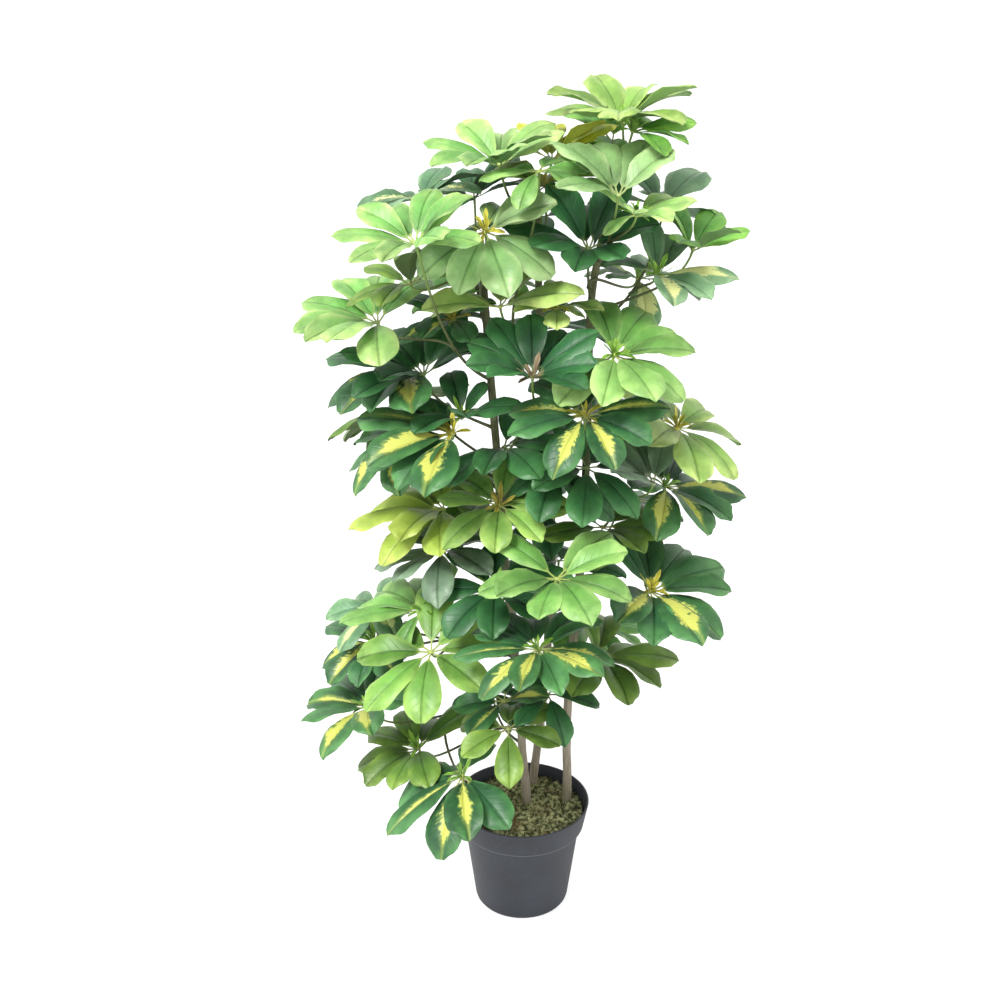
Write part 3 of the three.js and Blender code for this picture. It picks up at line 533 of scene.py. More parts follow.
def bezier(handles, t):
    """A cubic Bezier curve's points and directions at the parameters t."""
    a, b, c, d = handles
    t = np.asarray(t, float)[:, None]
    at = a * (1 - t)**3 + 3 * b * t * (1 - t)**2 + 3 * c * t**2 * (1 - t) + d * t**3
    slope = 3 * (b - a) * (1 - t)**2 + 6 * (c - b) * t * (1 - t) + 3 * (d - c) * t**2
    return at, slope / np.linalg.norm(slope, axis=1, keepdims=True)


def petiole_handles(foot, direction, rib):
    """A petiole leaves its foot in one direction and comes up under its hub."""
    end = rib["hub"] - rib["axis"] * BLADE["thickness"] / 2
    span = np.linalg.norm(end - foot)
    return (foot, foot + direction * PETIOLE["foot_handle"] * span,
            end - rib["axis"] * PETIOLE["hub_handle"] * span, end)


for trunk, root_height, ribs in SPRAYS.values():
    for rib in ribs:
        lay_umbrella(rib)
    root = trunk_point(trunk, root_height)
    outwards = unit((ribs[0]["hub"] - root) * (1, 1, 0))
    ribs[0]["petiole"] = petiole_handles(root, unit(outwards + UP * PETIOLE["slope"]), ribs[0])
    for rib in ribs[1:]:
        fork, tangent = bezier(ribs[0]["petiole"], [PETIOLE["fork"]])
        rib["petiole"] = petiole_handles(fork[0], tangent[0], rib)
print("front umbrella faces", SPRAYS["front_bright"][2][0]["axis"].round(2))


# %% [markdown]
# ## One leaflet's arc
# A leaflet rises from its hub, arches over and droops. Seen from the side that is a piece of a
# circle, so one starting angle, one total bow and its length say all of it. Where leaflets would
# have met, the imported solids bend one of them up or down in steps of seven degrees, make it
# shorter, or leave it out. Which try was taken is read off the solids: the tip that lies on a
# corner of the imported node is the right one.

# %% Leaflet arcs
def leaflet_arc(rib, number, shorter, bend):
    """Everything that places one leaflet: its heading, length, half width, angles and twist."""
    seed = rib["seed"] + 6 * number
    if rib["facing"] is not None:
        middle = math.radians(rib["facing"])
    elif rib["fan"] < 1:
        middle = math.atan2(rib["out"] @ rib["front"], rib["out"] @ rib["side"])
    else:
        middle = math.pi * draw(rib["seed"])
    step = 2 * math.pi * rib["fan"] / rib["count"]
    stray = VARIATION["heading"] * draw(seed + 3)
    heading = middle + (number + 0.5 - rib["count"] / 2 + stray) * step
    reach = shorter * rib["length"] * (1 + VARIATION["length"] * draw(seed + 4))
    layer = -BLADE["layered"] if number % 2 else BLADE["layered"]
    rise = BLADE["rise"] + rib["cup"] + layer + bend + VARIATION["rise"] * draw(seed + 5)
    return dict(
        hub=rib["hub"], axis=rib["axis"], seed=seed, reach=reach,
        radial=rib["side"] * math.cos(heading) + rib["front"] * math.sin(heading),
        across=rib["front"] * math.cos(heading) - rib["side"] * math.sin(heading),
        foot=HUB_RADIUS * math.cos(step / 2),
        half=0.5 * BLADE["width_share"] * reach * min(1, BLADE["crowded"] / rib["count"]),
        first=math.radians(rise),
        bow=math.radians(BLADE["droop"] + VARIATION["droop"] * draw(seed + 6)),
        twist=math.radians(VARIATION["twist"] * draw(seed + 7)),
    )


def along_arc(arc, shares):
    """Points on a leaflet's middle line, the way across it and the normal there, at shares of its
    length. A share s has turned down by s times the bow, and the points follow that circle."""
    angle = arc["first"] - arc["bow"] * np.asarray(shares, float)[:, None]
    radius = arc["reach"] / arc["bow"]
    out = arc["foot"] + radius * (math.sin(arc["first"]) - np.sin(angle))
    rise = radius * (np.cos(angle) - math.cos(arc["first"]))
    normal = arc["axis"] * np.cos(angle) - arc["radial"] * np.sin(angle)
    across = arc["across"] * math.cos(arc["twist"]) + normal * math.sin(arc["twist"])
    return arc["hub"] + arc["radial"] * out + arc["axis"] * rise, across, normal


def node_corners(node):
    """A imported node's corners in millimetres."""
    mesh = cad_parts[node].data
    numbers = np.empty(len(mesh.vertices) * 3, np.float32)
    mesh.vertices.foreach_get("co", numbers)
    return numbers.reshape(-1, 3).astype(float) / MM


MATCH_MM = 0.05


def grown_leaflets(rib, corners):
    """The arcs of an umbrella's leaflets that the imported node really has."""
    arcs = []
    for number in range(rib["count"]):
        for shorter, bend in itertools.product(SHORTER, BENDS):
            arc = leaflet_arc(rib, number, shorter, bend)
            at, across, normal = along_arc(arc, [1.0])
            tip = at[0] + across[0] * TIP_HALF * arc["half"] + normal[0] * BLADE["thickness"] / 2
            if np.abs(corners - tip).max(axis=1).min() < MATCH_MM:
                arcs.append(arc)
                break
    return arcs


for name, (_, _, ribs) in SPRAYS.items():
    corners = node_corners("spray_" + name)
    for rib in ribs:
        rib["arcs"] = grown_leaflets(rib, corners)
print("leaflets:", sum(len(rib["arcs"]) for _, _, ribs in SPRAYS.values() for rib in ribs),
      "of", sum(rib["count"] for _, _, ribs in SPRAYS.values() for rib in ribs))

# %% [markdown]
# ## The shape of a leaflet
# A real leaflet stands on a thin stalk, widens slowly, is broadest well past its middle and ends in
# a blunt tip, notched on some and slightly pointed on others. Its blade is folded along the midrib,
# each half swells a little, and the edge waves. All of this is a function on a grid: one parameter
# runs from the hub to the tip, the other from one edge to the other. The top and the underside are
# two such grids, half a millimetre apart, and a rim closes them into one thin solid. Their quads
# are bent, so both grids start each quad at the same corner, and are split along the same
# diagonals.

# %% Leaflet outline
STALK_SHARE = 0.1
STALK_HALF_MM = 0.85
BASE_POWER = 0.8
TIP_POWER = 0.44
TIP_CUT = 0.975
FULLNESS = 1.1


def outline(shares, widest_mm):
    """Half the leaflet's width at shares of its length: the stalk's, then an obovate blade, which
    grows as a power of the distance from the stalk and falls as a power of that to the tip."""
    blade = np.clip((shares - STALK_SHARE) / (1 - STALK_SHARE), 0, 1) * TIP_CUT
    swell = blade**BASE_POWER * (1 - blade)**TIP_POWER
    peak = BASE_POWER / (BASE_POWER + TIP_POWER)
    swell = swell / (peak**BASE_POWER * (1 - peak)**TIP_POWER)
    return np.maximum(STALK_HALF_MM, widest_mm * swell)


# %% Leaflet surface
BLADE_OPENS_OVER = 0.2
TIP_ROUNDING = 0.075
TIP_ROUNDING_POWER = 2.2
# how far the rows end sooner on the midrib, as a share of the length: mean and spread
TIP_NOTCH = (-0.004, 0.03)
# how far the surface leaves a flat blade, as shares of its half width: mean and spread
FOLD = (0.24, 0.14)
CREST = (0.15, 0.05)
CURL = (0.12, 0.16)
WAVE = (0.09, 0.05)
WAVES_ALONG = 1.7
WAVE_SHIFT = 1.3


def drawn(mean_and_spread, seed):
    """A value about a mean, as far from it as a seeded draw and the spread say."""
    mean, spread = mean_and_spread
    return mean + spread * draw(seed)


def opening(along):
    """0 on a leaflet's stalk and 1 where its blade has opened."""
    return np.clip((along - STALK_SHARE) / BLADE_OPENS_OVER, 0, 1)


def blade_lift(arc, along, sideways, half):
    """How far a leaflet's surface stands off the flat: up from the midrib to both edges as a fold,
    up between them as a crest, down again at the edges as a curl, and up and down as a wave."""
    seed = arc["seed"]
    outward = np.abs(sideways)
    fold = drawn(FOLD, seed + 16) * outward
    crest = drawn(CREST, seed + 17) * (1 - (2 * outward - 1)**2)
    curl = drawn(CURL, seed + 12) * outward**2
    waves = 2 * math.pi * (WAVES_ALONG * along + draw(seed + 13))
    wave = drawn(WAVE, seed + 18) * outward**2 * np.sin(waves + WAVE_SHIFT * np.sign(sideways))
    return opening(along) * half * (fold + crest - curl + wave)


def leaflet_surface(arc, along, sideways, fullness):
    """The middle surface of a leaflet at places along it and across it, and its normals. Its rows
    end a little sooner towards the edges, which rounds the tip, and on the midrib, which notches
    it."""
    outward = np.abs(sideways)
    notch = drawn(TIP_NOTCH, arc["seed"] + 11)
    rounding = TIP_ROUNDING * outward**TIP_ROUNDING_POWER + notch * (1 - outward)**2
    points, ways, normals = along_arc(arc, along - rounding * along**4)
    half = outline(along, arc["half"] * fullness)
    lift = blade_lift(arc, along, sideways, half)
    return points + ways * (half * sideways)[:, None] + normals * lift[:, None], normals


# %% Leaflet solid
ROW_SHARES = np.array([0, 0.05, 0.1, 0.17, 0.27, 0.39, 0.52, 0.65, 0.77, 0.87, 0.945, 1.0])
COLUMN_SHARES = np.array([-1, -0.55, 0, 0.55, 1.0])
BLADE_HALF_THICK_MM = 0.24
STALK_HALF_THICK_MM = 0.6
HUB_KNOB_MM = 1.5


def grid_rim(rows, columns):
    """The points round a grid: down its first column, along its last row, up and back."""
    return np.concatenate([
        np.arange(rows) * columns,
        (rows - 1) * columns + np.arange(1, columns),
        np.arange(rows - 2, -1, -1) * columns + columns - 1,
        np.arange(columns - 2, 0, -1),
    ])


def leaflet_solid(arc, rows=ROW_SHARES, columns=COLUMN_SHARES, fullness=FULLNESS):
    """A leaflet's points and faces, with the place in the blade of each point as its UV."""
    along, sideways = map(np.ravel, np.meshgrid(rows, columns, indexing="ij"))
    points, normals = leaflet_surface(arc, along, sideways, fullness)
    points[:len(columns)] -= arc["radial"] * (arc["foot"] - HUB_KNOB_MM)
    opened = opening(along)[:, None]
    thick = STALK_HALF_THICK_MM + (BLADE_HALF_THICK_MM - STALK_HALF_THICK_MM) * opened
    top = grid_faces(len(rows), len(columns))
    right = np.tile(np.arange(len(columns) - 1) >= len(columns) // 2, len(rows) - 1)
    top[right] = np.roll(top[right], 1, axis=1)
    count = len(points)
    rim = grid_rim(len(rows), len(columns))
    after = np.roll(rim, -1)
    walls = np.stack([after, rim, rim + count, after + count], axis=1)
    uv = np.stack([0.5 + 0.5 * sideways, along], axis=1)
    return dict(
        points=np.vstack([points + normals * thick, points - normals * thick]),
        quads=np.vstack([top, top[:, [0, 3, 2, 1]] + count, walls]),
        triangles=np.zeros((0, 3), int),
        creased=np.repeat([False, True], [2 * len(top), len(walls)]),
        midrib=np.tile((sideways == 0) & (along >= STALK_SHARE), 2),
        uv=np.vstack([uv, uv]),
        under=np.repeat([0.0, 1.0], count),
    )


sample = leaflet_solid(SPRAYS["front_bright"][2][0]["arcs"][0])
print("a leaflet has", len(sample["points"]), "points and", len(sample["quads"]), "faces")

# %% [markdown]
# ## Stalks, hubs and tufts
# A petiole is a thin round stem that tapers from its foot to its hub. The hub is a small knob where
# the leaflets' stalks meet. Many hubs also carry a tuft of young leaflets, still folded and narrow,
# which stand up in the middle and are yellow-green, brown or pink.


# %% Round stems
def tube(centres, tangents, radii, sides, reference):
    """Rings of points round a line, each square to the line there, closed by a point at each end.
    The reference is a direction that the line never takes, so the rings don't twist."""
    first = np.cross(tangents, reference)
    first /= np.linalg.norm(first, axis=1, keepdims=True)
    second = np.cross(tangents, first)
    turns = 2 * math.pi * np.arange(sides) / sides
    ring = (first[:, None] * np.cos(turns)[None, :, None]
            + second[:, None] * np.sin(turns)[None, :, None])
    rings = centres[:, None] + ring * np.asarray(radii)[:, None, None]
    points = np.vstack([rings.reshape(-1, 3), centres[:1], centres[-1:]])
    quads = grid_faces(len(centres), sides, around=True)[:, ::-1]
    beside = (np.arange(sides) + 1) % sides
    last = (len(centres) - 1) * sides
    start, end = len(points) - 2, len(points) - 1
    caps = [np.stack([np.full(sides, start), beside, np.arange(sides)], axis=1),
            np.stack([np.full(sides, end), last + np.arange(sides), last + beside], axis=1)]
    along = np.repeat(np.linspace(0, 1, len(centres)), sides)
    around = np.tile(np.arange(sides) / sides, len(centres))
    uv = np.vstack([np.stack([around, along], axis=1), [[0.5, 0], [0.5, 1]]])
    return dict(points=points, quads=quads, triangles=np.vstack(caps), uv=uv)


# %% Petioles and knobs
PETIOLE_STEPS = 16
PETIOLE_SIDES = 8
# how much thicker a petiole is at its ends, and over which share of its length that fades
FOOT_SWELL_MM = 1.2
FOOT_SWELL_OVER = 0.05
HUB_SWELL_MM = 0.5
HUB_SWELL_OVER = 0.03


def petiole_solid(rib):
    """A petiole, thicker at its foot, where it comes out of its trunk, and just under its hub."""
    shares = np.linspace(0, 1, PETIOLE_STEPS + 1)
    centres, tangents = bezier(rib["petiole"], shares)
    radii = STEM_RADII[0] + (STEM_RADII[1] - STEM_RADII[0]) * shares
    radii = radii + FOOT_SWELL_MM * np.exp(-shares / FOOT_SWELL_OVER)
    radii = radii + HUB_SWELL_MM * np.exp((shares - 1) / HUB_SWELL_OVER)
    chord = centres[-1] - centres[0]
    upright = np.linalg.norm(chord[:2]) <= 1
    reference = np.array([1.0, 0, 0]) if upright else unit(np.cross(chord, UP))
    return tube(centres, tangents, radii, PETIOLE_SIDES, reference)


KNOB_RINGS = np.radians([-60, -30, 0, 30, 60])
KNOB_SIDES = 10
KNOB_RADIUS = 3.1
KNOB_HALF_HEIGHT = 1.9


def knob_solid(rib):
    """The hub's small flattened knob, as a tube along the umbrella's axis with rounded ends. All of
    it has the colour that a leaflet has at its stalk, so its UVs are zero."""
    centres = rib["hub"] + rib["axis"] * (KNOB_HALF_HEIGHT * np.sin(KNOB_RINGS))[:, None]
    tangents = np.tile(rib["axis"], (len(KNOB_RINGS), 1))
    made = tube(centres, tangents, KNOB_RADIUS * np.cos(KNOB_RINGS), KNOB_SIDES, rib["side"])
    return dict(made, uv=0 * made["uv"])


# %% Young tufts
TUFT_ROWS = np.array([0, 0.2, 0.45, 0.75, 1.0])
TUFT_COLUMNS = np.array([-1, 0, 1.0])
TUFT_FEWEST = 9
TUFT_MORE = 4
TUFT_FOOT_MM = 1.8
TUFT_HALF_WIDTH = 0.11
# mean and spread of a young leaflet's length in millimetres and of its angles in degrees
TUFT_REACH = (21, 8)
TUFT_RISE = (55, 30)
TUFT_BOW = (35, 30)
TUFT_TWIST = (0, 40)


def tuft_arcs(rib):
    """The young leaflets on a hub: short, narrow and steep, spread by the golden angle."""
    count = TUFT_FEWEST + int(TUFT_MORE * abs(draw(rib["seed"] + 21)))
    arcs = []
    for number in range(count):
        seed = rib["seed"] + 31 * number
        heading = 2 * math.pi * GOLDEN * (number + 1)
        reach = drawn(TUFT_REACH, seed + 22)
        arcs.append(dict(
            hub=rib["hub"], axis=rib["axis"], seed=seed, reach=reach,
            radial=rib["side"] * math.cos(heading) + rib["front"] * math.sin(heading),
            across=rib["front"] * math.cos(heading) - rib["side"] * math.sin(heading),
            foot=TUFT_FOOT_MM, half=TUFT_HALF_WIDTH * reach,
            first=math.radians(drawn(TUFT_RISE, seed + 23)),
            bow=math.radians(drawn(TUFT_BOW, seed + 24)),
            twist=math.radians(drawn(TUFT_TWIST, seed + 25)),
        ))
    return arcs


# %% [markdown]
# ## The finish of the leaves
# Each umbrella is one colour, from a fresh yellow-green to a dark blue-green, and some are
# variegated: a jagged yellow patch runs from the stalk along the midrib. Close up a leaflet has a
# thin crease along its midrib, darkened with painted shade, faint side veins that sweep to the tip,
# lighter edges, a pale stalk and a greyer underside, and it darkens towards the hub, partly as a
# deeper green and partly as painted shade. All of it follows the blade, so it is worked out from
# the UV map, and each point also carries its leaflet's seed, shade and patch size.

# %% The lines and greens of a leaf
# Places across a blade are 0 on the midrib and 1 at the edge, and places along it are 0 at the hub
# and 1 at the tip. Each fade names where it starts and where it is complete.
MIDRIB_FADE = (0.085, 0.015)
VEINS_ALONG = 8.5
VEINS_SWEEP = 1.9
VEIN_FADE = (0.08, 0.0)
VEINS_EDGE_FADE = (0.95, 0.5)
LIGHT_EDGE_FADE = (0.35, 1.15)
LIGHT_TIP_FADE = (0.5, 1.1)
LIGHT_PATCH_FADE = (0.2, 0.75)
# partly painted shade and partly the deeper green of a leaflet's base towards the hub
HUB_PAINTED_SHADE_FADE = (0.62, 0.12)
MOTTLE_FADE = (0.3, 0.7)
MOTTLE_SCALES = (0.9, 3)
BLADE_NOISE_ROUGHNESS = 0.55
# an old leaflet is lighter all over: how the seed is spread out, and by how much it counts
AGE_STEP = 5.3
AGE_MEAN = 0.12
AGE_SPREAD = 0.22
# how light a face is at least, and what each mask adds to that or takes from it; the midrib's
# share is painted shade in its crease, and the hub's is partly painted shade, partly deeper green
TONE = dict(least=0.87, mottle=0.34, shade=0.22, midrib=-0.3, veins=-0.07, hub=-0.3)


def blade_noise(tree, place, scales, detail):
    """Noise in a blade, with one size across and one along, that differs on every leaflet."""
    return noise(tree, stretched(tree, place, (*scales, 1)), 1, detail, BLADE_NOISE_ROUGHNESS)


def green_face(tree, given, outward, along, mottle):
    """The leaf's green: its face colour, and in soft patches its edge colour towards the edges and
    the tip. An old leaflet has more of the edge colour everywhere."""
    light = calculate(tree, "MAXIMUM", smooth_step(tree, outward, *LIGHT_EDGE_FADE),
                      smooth_step(tree, along, *LIGHT_TIP_FADE))
    light = calculate(tree, "MULTIPLY", light, smooth_step(tree, mottle, *LIGHT_PATCH_FADE))
    age = calculate(tree, "SINE", calculate(tree, "MULTIPLY", given["Seed"], AGE_STEP))
    older = calculate(tree, "MULTIPLY_ADD", age, AGE_SPREAD, AGE_MEAN)
    share = calculate(tree, "ADD", light, calculate(tree, "MAXIMUM", older, 0))
    return mix_colours(tree, share, given["Face"], given["Edge"])


def face_tone(tree, given, along, mottle, midrib, veins):
    """How light the green is: mottled, lighter or darker on each leaflet, darker along the side
    veins, darker in the midrib's crease as painted shade, and darker towards the hub, partly as
    painted shade and partly as a deeper green. Each of them adds its share."""
    masks = dict(mottle=smooth_step(tree, mottle, *MOTTLE_FADE), shade=given["Shade"],
                 midrib=midrib, veins=veins, hub=smooth_step(tree, along, *HUB_PAINTED_SHADE_FADE))
    tone = TONE["least"]
    for label, mask in masks.items():
        tone = calculate(tree, "MULTIPLY_ADD", mask, TONE[label], tone)
    return tone


# %% The yellow patch of a variegated leaf
PATCH_STARTS = (0.06, 0.24)
PATCH_ENDS = (0.9, 0.6)
PATCH_SIZE_FADE = (0.02, 0.1)
PATCH_SHIFT = 0.22
# the outline's broad unevenness and its teeth: scales across and along, and how far each reaches
RAGGED_SCALES = (2.0, 3.2)
RAGGED = 2.4
TEETH_SCALES = (4.5, 2.3)
TEETH = 1.8
PALE_BAND_FADE = (-0.18, 0.02)
PATCH_EDGE_FADE = (-0.01, 0.07)


def yellow_patch(tree, given, across, along, vein_at, place):
    """Masks of the patch and of the paler band round it. The patch is as wide as the leaflet's
    patch size, and narrows to both ends. Noise makes its outline uneven, and finer noise that is
    drawn out along the side veins gives it teeth. It lies a little to one side of the midrib."""
    slanted = add_node(tree, "ShaderNodeCombineXYZ", {0: across, 1: vein_at, 2: given["Seed"]})
    body = calculate(tree, "MULTIPLY", smooth_step(tree, along, *PATCH_STARTS),
                     smooth_step(tree, along, *PATCH_ENDS))
    uneven = calculate(tree, "MULTIPLY_ADD", blade_noise(tree, place, RAGGED_SCALES, 2),
                       RAGGED, 1 - (RAGGED + TEETH) / 2)
    uneven = calculate(tree, "MULTIPLY_ADD", blade_noise(tree, slanted.outputs[0], TEETH_SCALES, 1),
                       TEETH, uneven)
    width = calculate(tree, "MULTIPLY", calculate(tree, "MULTIPLY", given["Patch"], body), uneven)
    shift = calculate(tree, "MULTIPLY", calculate(tree, "SINE", given["Seed"]), PATCH_SHIFT)
    off_middle = calculate(tree, "ABSOLUTE", calculate(tree, "SUBTRACT", across, shift))
    inside = calculate(tree, "SUBTRACT", width, off_middle)
    any_patch = smooth_step(tree, given["Patch"], *PATCH_SIZE_FADE)
    return [calculate(tree, "MULTIPLY", smooth_step(tree, inside, *fade), any_patch)
            for fade in (PATCH_EDGE_FADE, PALE_BAND_FADE)]


# %% The leaf's node group
PALE_BAND_STRENGTH = 0.6
PALE_BAND_CREAM = 0.45
# painted shade: how much darker the yellow patch is in the midrib's crease
PATCH_CREASE_SHADE = -0.12
PATCH_ON_BACK = 0.7
BACK_STRENGTH = 0.85
STALK_FADE = (STALK_SHARE + 0.07, STALK_SHARE - 0.02)
GRAIN_SCALES = (22, 60)
# how much the lines and the grain count in the height, and what makes up the roughness
HEIGHT = dict(midrib=-1.0, grain=0.22, veins=-0.35)
ROUGHNESS = dict(least=0.34, grain=0.12, under=0.2)

leaf_group, leaf_in, leaf_out = new_group(
    "leaf_face",
    {"UV": "Vector", "Seed": "Float", "Shade": "Float", "Patch": "Float", "Under": "Float",
     "Face": "Color", "Edge": "Color", "Back": "Color", "Stalk": "Color", "Cream": "Color"},
    {"Color": "Color", "Height": "Float", "Roughness": "Float"},
)


def leaf_colour(tree, given, masks, face):
    """The leaf's colour from its green face: the patch over it, darkened along the midrib's crease
    with painted shade, the stalk's colour at the foot, and the underside's own colour, through
    which the patch shows a little."""
    band = mix_colours(tree, PALE_BAND_CREAM, given["Edge"], given["Cream"])
    band_share = calculate(tree, "MULTIPLY", masks["band"], PALE_BAND_STRENGTH)
    colour = mix_colours(tree, band_share, face, band)
    # painted shade along the midrib's crease, laid over the yellow patch
    crease_shade = calculate(tree, "MULTIPLY_ADD", masks["midrib"], PATCH_CREASE_SHADE, 1.0)
    cream = mix_colours(tree, 1.0, given["Cream"], crease_shade, blend="MULTIPLY")
    colour = mix_colours(tree, masks["patch"], colour, cream)
    colour = mix_colours(tree, masks["stalk"], colour, given["Stalk"])
    shown_through = calculate(tree, "MULTIPLY", masks["patch"], PATCH_ON_BACK)
    back = mix_colours(tree, shown_through, given["Back"], given["Cream"])
    return mix_colours(
        tree, calculate(tree, "MULTIPLY", given["Under"], BACK_STRENGTH), colour, back)


def fill_leaf_group(tree, given, result):
    """Works out a leaf's colour, height and roughness from the place in its blade."""
    across = calculate(tree, "MULTIPLY_ADD", coordinate(tree, given["UV"], 0), 2, -1)
    along = coordinate(tree, given["UV"], 1)
    outward = calculate(tree, "ABSOLUTE", across)
    place = add_node(tree, "ShaderNodeCombineXYZ", {0: across, 1: along, 2: given["Seed"]})
    place = place.outputs[0]
    mottle = blade_noise(tree, place, MOTTLE_SCALES, 3)
    grain = blade_noise(tree, place, GRAIN_SCALES, 2)
    midrib = smooth_step(tree, outward, *MIDRIB_FADE)
    vein_at = calculate(tree, "MULTIPLY", along, VEINS_ALONG)
    vein_at = calculate(tree, "MULTIPLY_ADD", outward, -VEINS_SWEEP, vein_at)
    to_vein = calculate(tree, "PINGPONG", vein_at, 0.5)
    veins = calculate(tree, "MULTIPLY", smooth_step(tree, to_vein, *VEIN_FADE),
                      smooth_step(tree, outward, *VEINS_EDGE_FADE))

    patch, band = yellow_patch(tree, given, across, along, vein_at, place)
    masks = dict(midrib=midrib, patch=patch, band=band,
                 stalk=smooth_step(tree, along, *STALK_FADE))
    green = green_face(tree, given, outward, along, mottle)
    tone = face_tone(tree, given, along, mottle, midrib, veins)
    face = mix_colours(tree, 1.0, green, tone, blend="MULTIPLY")
    tree.links.new(leaf_colour(tree, given, masks, face), result["Color"])

    height = calculate(tree, "MULTIPLY", midrib, HEIGHT["midrib"])
    height = calculate(tree, "MULTIPLY_ADD", grain, HEIGHT["grain"], height)
    height = calculate(tree, "MULTIPLY_ADD", veins, HEIGHT["veins"], height)
    tree.links.new(height, result["Height"])
    roughness = calculate(tree, "MULTIPLY_ADD", grain, ROUGHNESS["grain"], ROUGHNESS["least"])
    roughness = calculate(tree, "MULTIPLY_ADD", given["Under"], ROUGHNESS["under"], roughness)
    tree.links.new(roughness, result["Roughness"])


fill_leaf_group(leaf_group, leaf_in, leaf_out)
print("leaf group nodes:", len(leaf_group.nodes))

# %% One material for each finish
# the colours of the face, its edge, the underside, the stalk and, on variegated leaves, the patch
FINISHES = {
    "fresh": ("84b050", "c6d880", "8fb46c", "c3cf74"),
    "fern": ("70a646", "a8c868", "7f9f5c", "b9c96c"),
    "bright": ("70a850", "a8cc78", "73995a", "b9c96c"),
    "mint": ("75b358", "bfd885", "88b472", "c3d47c"),
    "yellow": ("b8c034", "e0e054", "c4c450", "c8cc5c"),
    "lime": ("8aac36", "bcce62", "92a656", "c3cf66"),
    "sage": ("7eab64", "b2cb8e", "7c9e6a", "b2c27c"),
    "green": ("569c3e", "8cbe52", "658a50", "9fb262"),
    "olive": ("547c30", "82a046", "5f7248", "a8ac6a"),
    "grey": ("60795f", "86a080", "768c76", "aab58a"),
    "dark": ("2c6238", "488046", "4b6a50", "8fa264"),
    "marbled": ("2e5e38", "5a9050", "56785a", "c4ca78", "d4d86a"),
    "marbled_pale": ("5c8a60", "92b486", "7a9878", "d0d68c", "ecf0a4"),
    "young_green": ("7cb43c", "a8d058", "7ca44c", "a8c060"),
    "young_yellow": ("c8c23c", "e6dc58", "b0ac4c", "c8c460"),
    "young_brown": ("a89c40", "c8b850", "94904c", "a8a058"),
    "young_pink": ("8c785c", "b09c7c", "80745c", "b0a070"),
}
LEAF_BUMP_M = 0.0005


def leaf_material(name, colours):
    """A leaf's finish: the leaf group with its colours. It reads the blade's own UV map and the
    numbers that each leaflet carries."""
    material, tree, shader = new_material("leaf_" + name)
    values = {label: screen_colour(code)
              for label, code in zip(("Face", "Edge", "Back", "Stalk", "Cream"), colours)}
    values["UV"] = add_node(tree, "ShaderNodeUVMap", uv_map="blade").outputs[0]
    for label in ("Seed", "Shade", "Patch", "Under"):
        read = add_node(tree, "ShaderNodeAttribute", attribute_name="leaf_" + label.lower())
        values[label] = read.outputs["Fac"]
    made = add_node(tree, "ShaderNodeGroup", node_tree=leaf_group)
    for label, value in values.items():
        if isinstance(value, bpy.types.NodeSocket):
            tree.links.new(value, made.inputs[label])
        else:
            made.inputs[label].default_value = value
    tree.links.new(made.outputs["Color"], shader.inputs["Base Color"])
    tree.links.new(made.outputs["Roughness"], shader.inputs["Roughness"])
    bump(tree, shader, made.outputs["Height"], LEAF_BUMP_M)
    return material


leaf_materials = {name: leaf_material(name, colours) for name, colours in FINISHES.items()}


# %% The stem's finish
STEM_BROWNS = ("464e2f", "6a7044")
STEM_GREEN = "7f9a4c"
STEM_TURNS_GREEN = (0.45, 1.05)
STEM_STREAK_SCALES = (500, 500, 90)
STEM_BUMP_M = 0.0002


def stem_material():
    """Petioles are dull brown at the foot and turn green towards the hub, with faint streaks."""
    material, tree, shader = new_material("stem", roughness=0.55)
    uv = add_node(tree, "ShaderNodeUVMap", uv_map="blade").outputs[0]
    streaks = noise(tree, stretched(tree, object_place(tree), STEM_STREAK_SCALES), 1, 3)
    towards_hub = smooth_step(tree, coordinate(tree, uv, 1), *STEM_TURNS_GREEN)
    greener = calculate(tree, "MULTIPLY_ADD", streaks, 0.5, towards_hub)
    colour = stain(tree, shades(tree, streaks, STEM_BROWNS), STEM_GREEN,
                   where=greener, start=0.2, full=1.2, strength=1.0)
    tree.links.new(colour, shader.inputs["Base Color"])
    bump(tree, shader, streaks, STEM_BUMP_M)
    return material


stem = stem_material()


# %% Joined solids
def per_element(parts, key, elements):
    """A value for every point or face of the parts. A part gives one for each or one for all."""
    return np.concatenate([
        np.broadcast_to(part.get(key, 0.0), len(part[elements])) for part in parts])


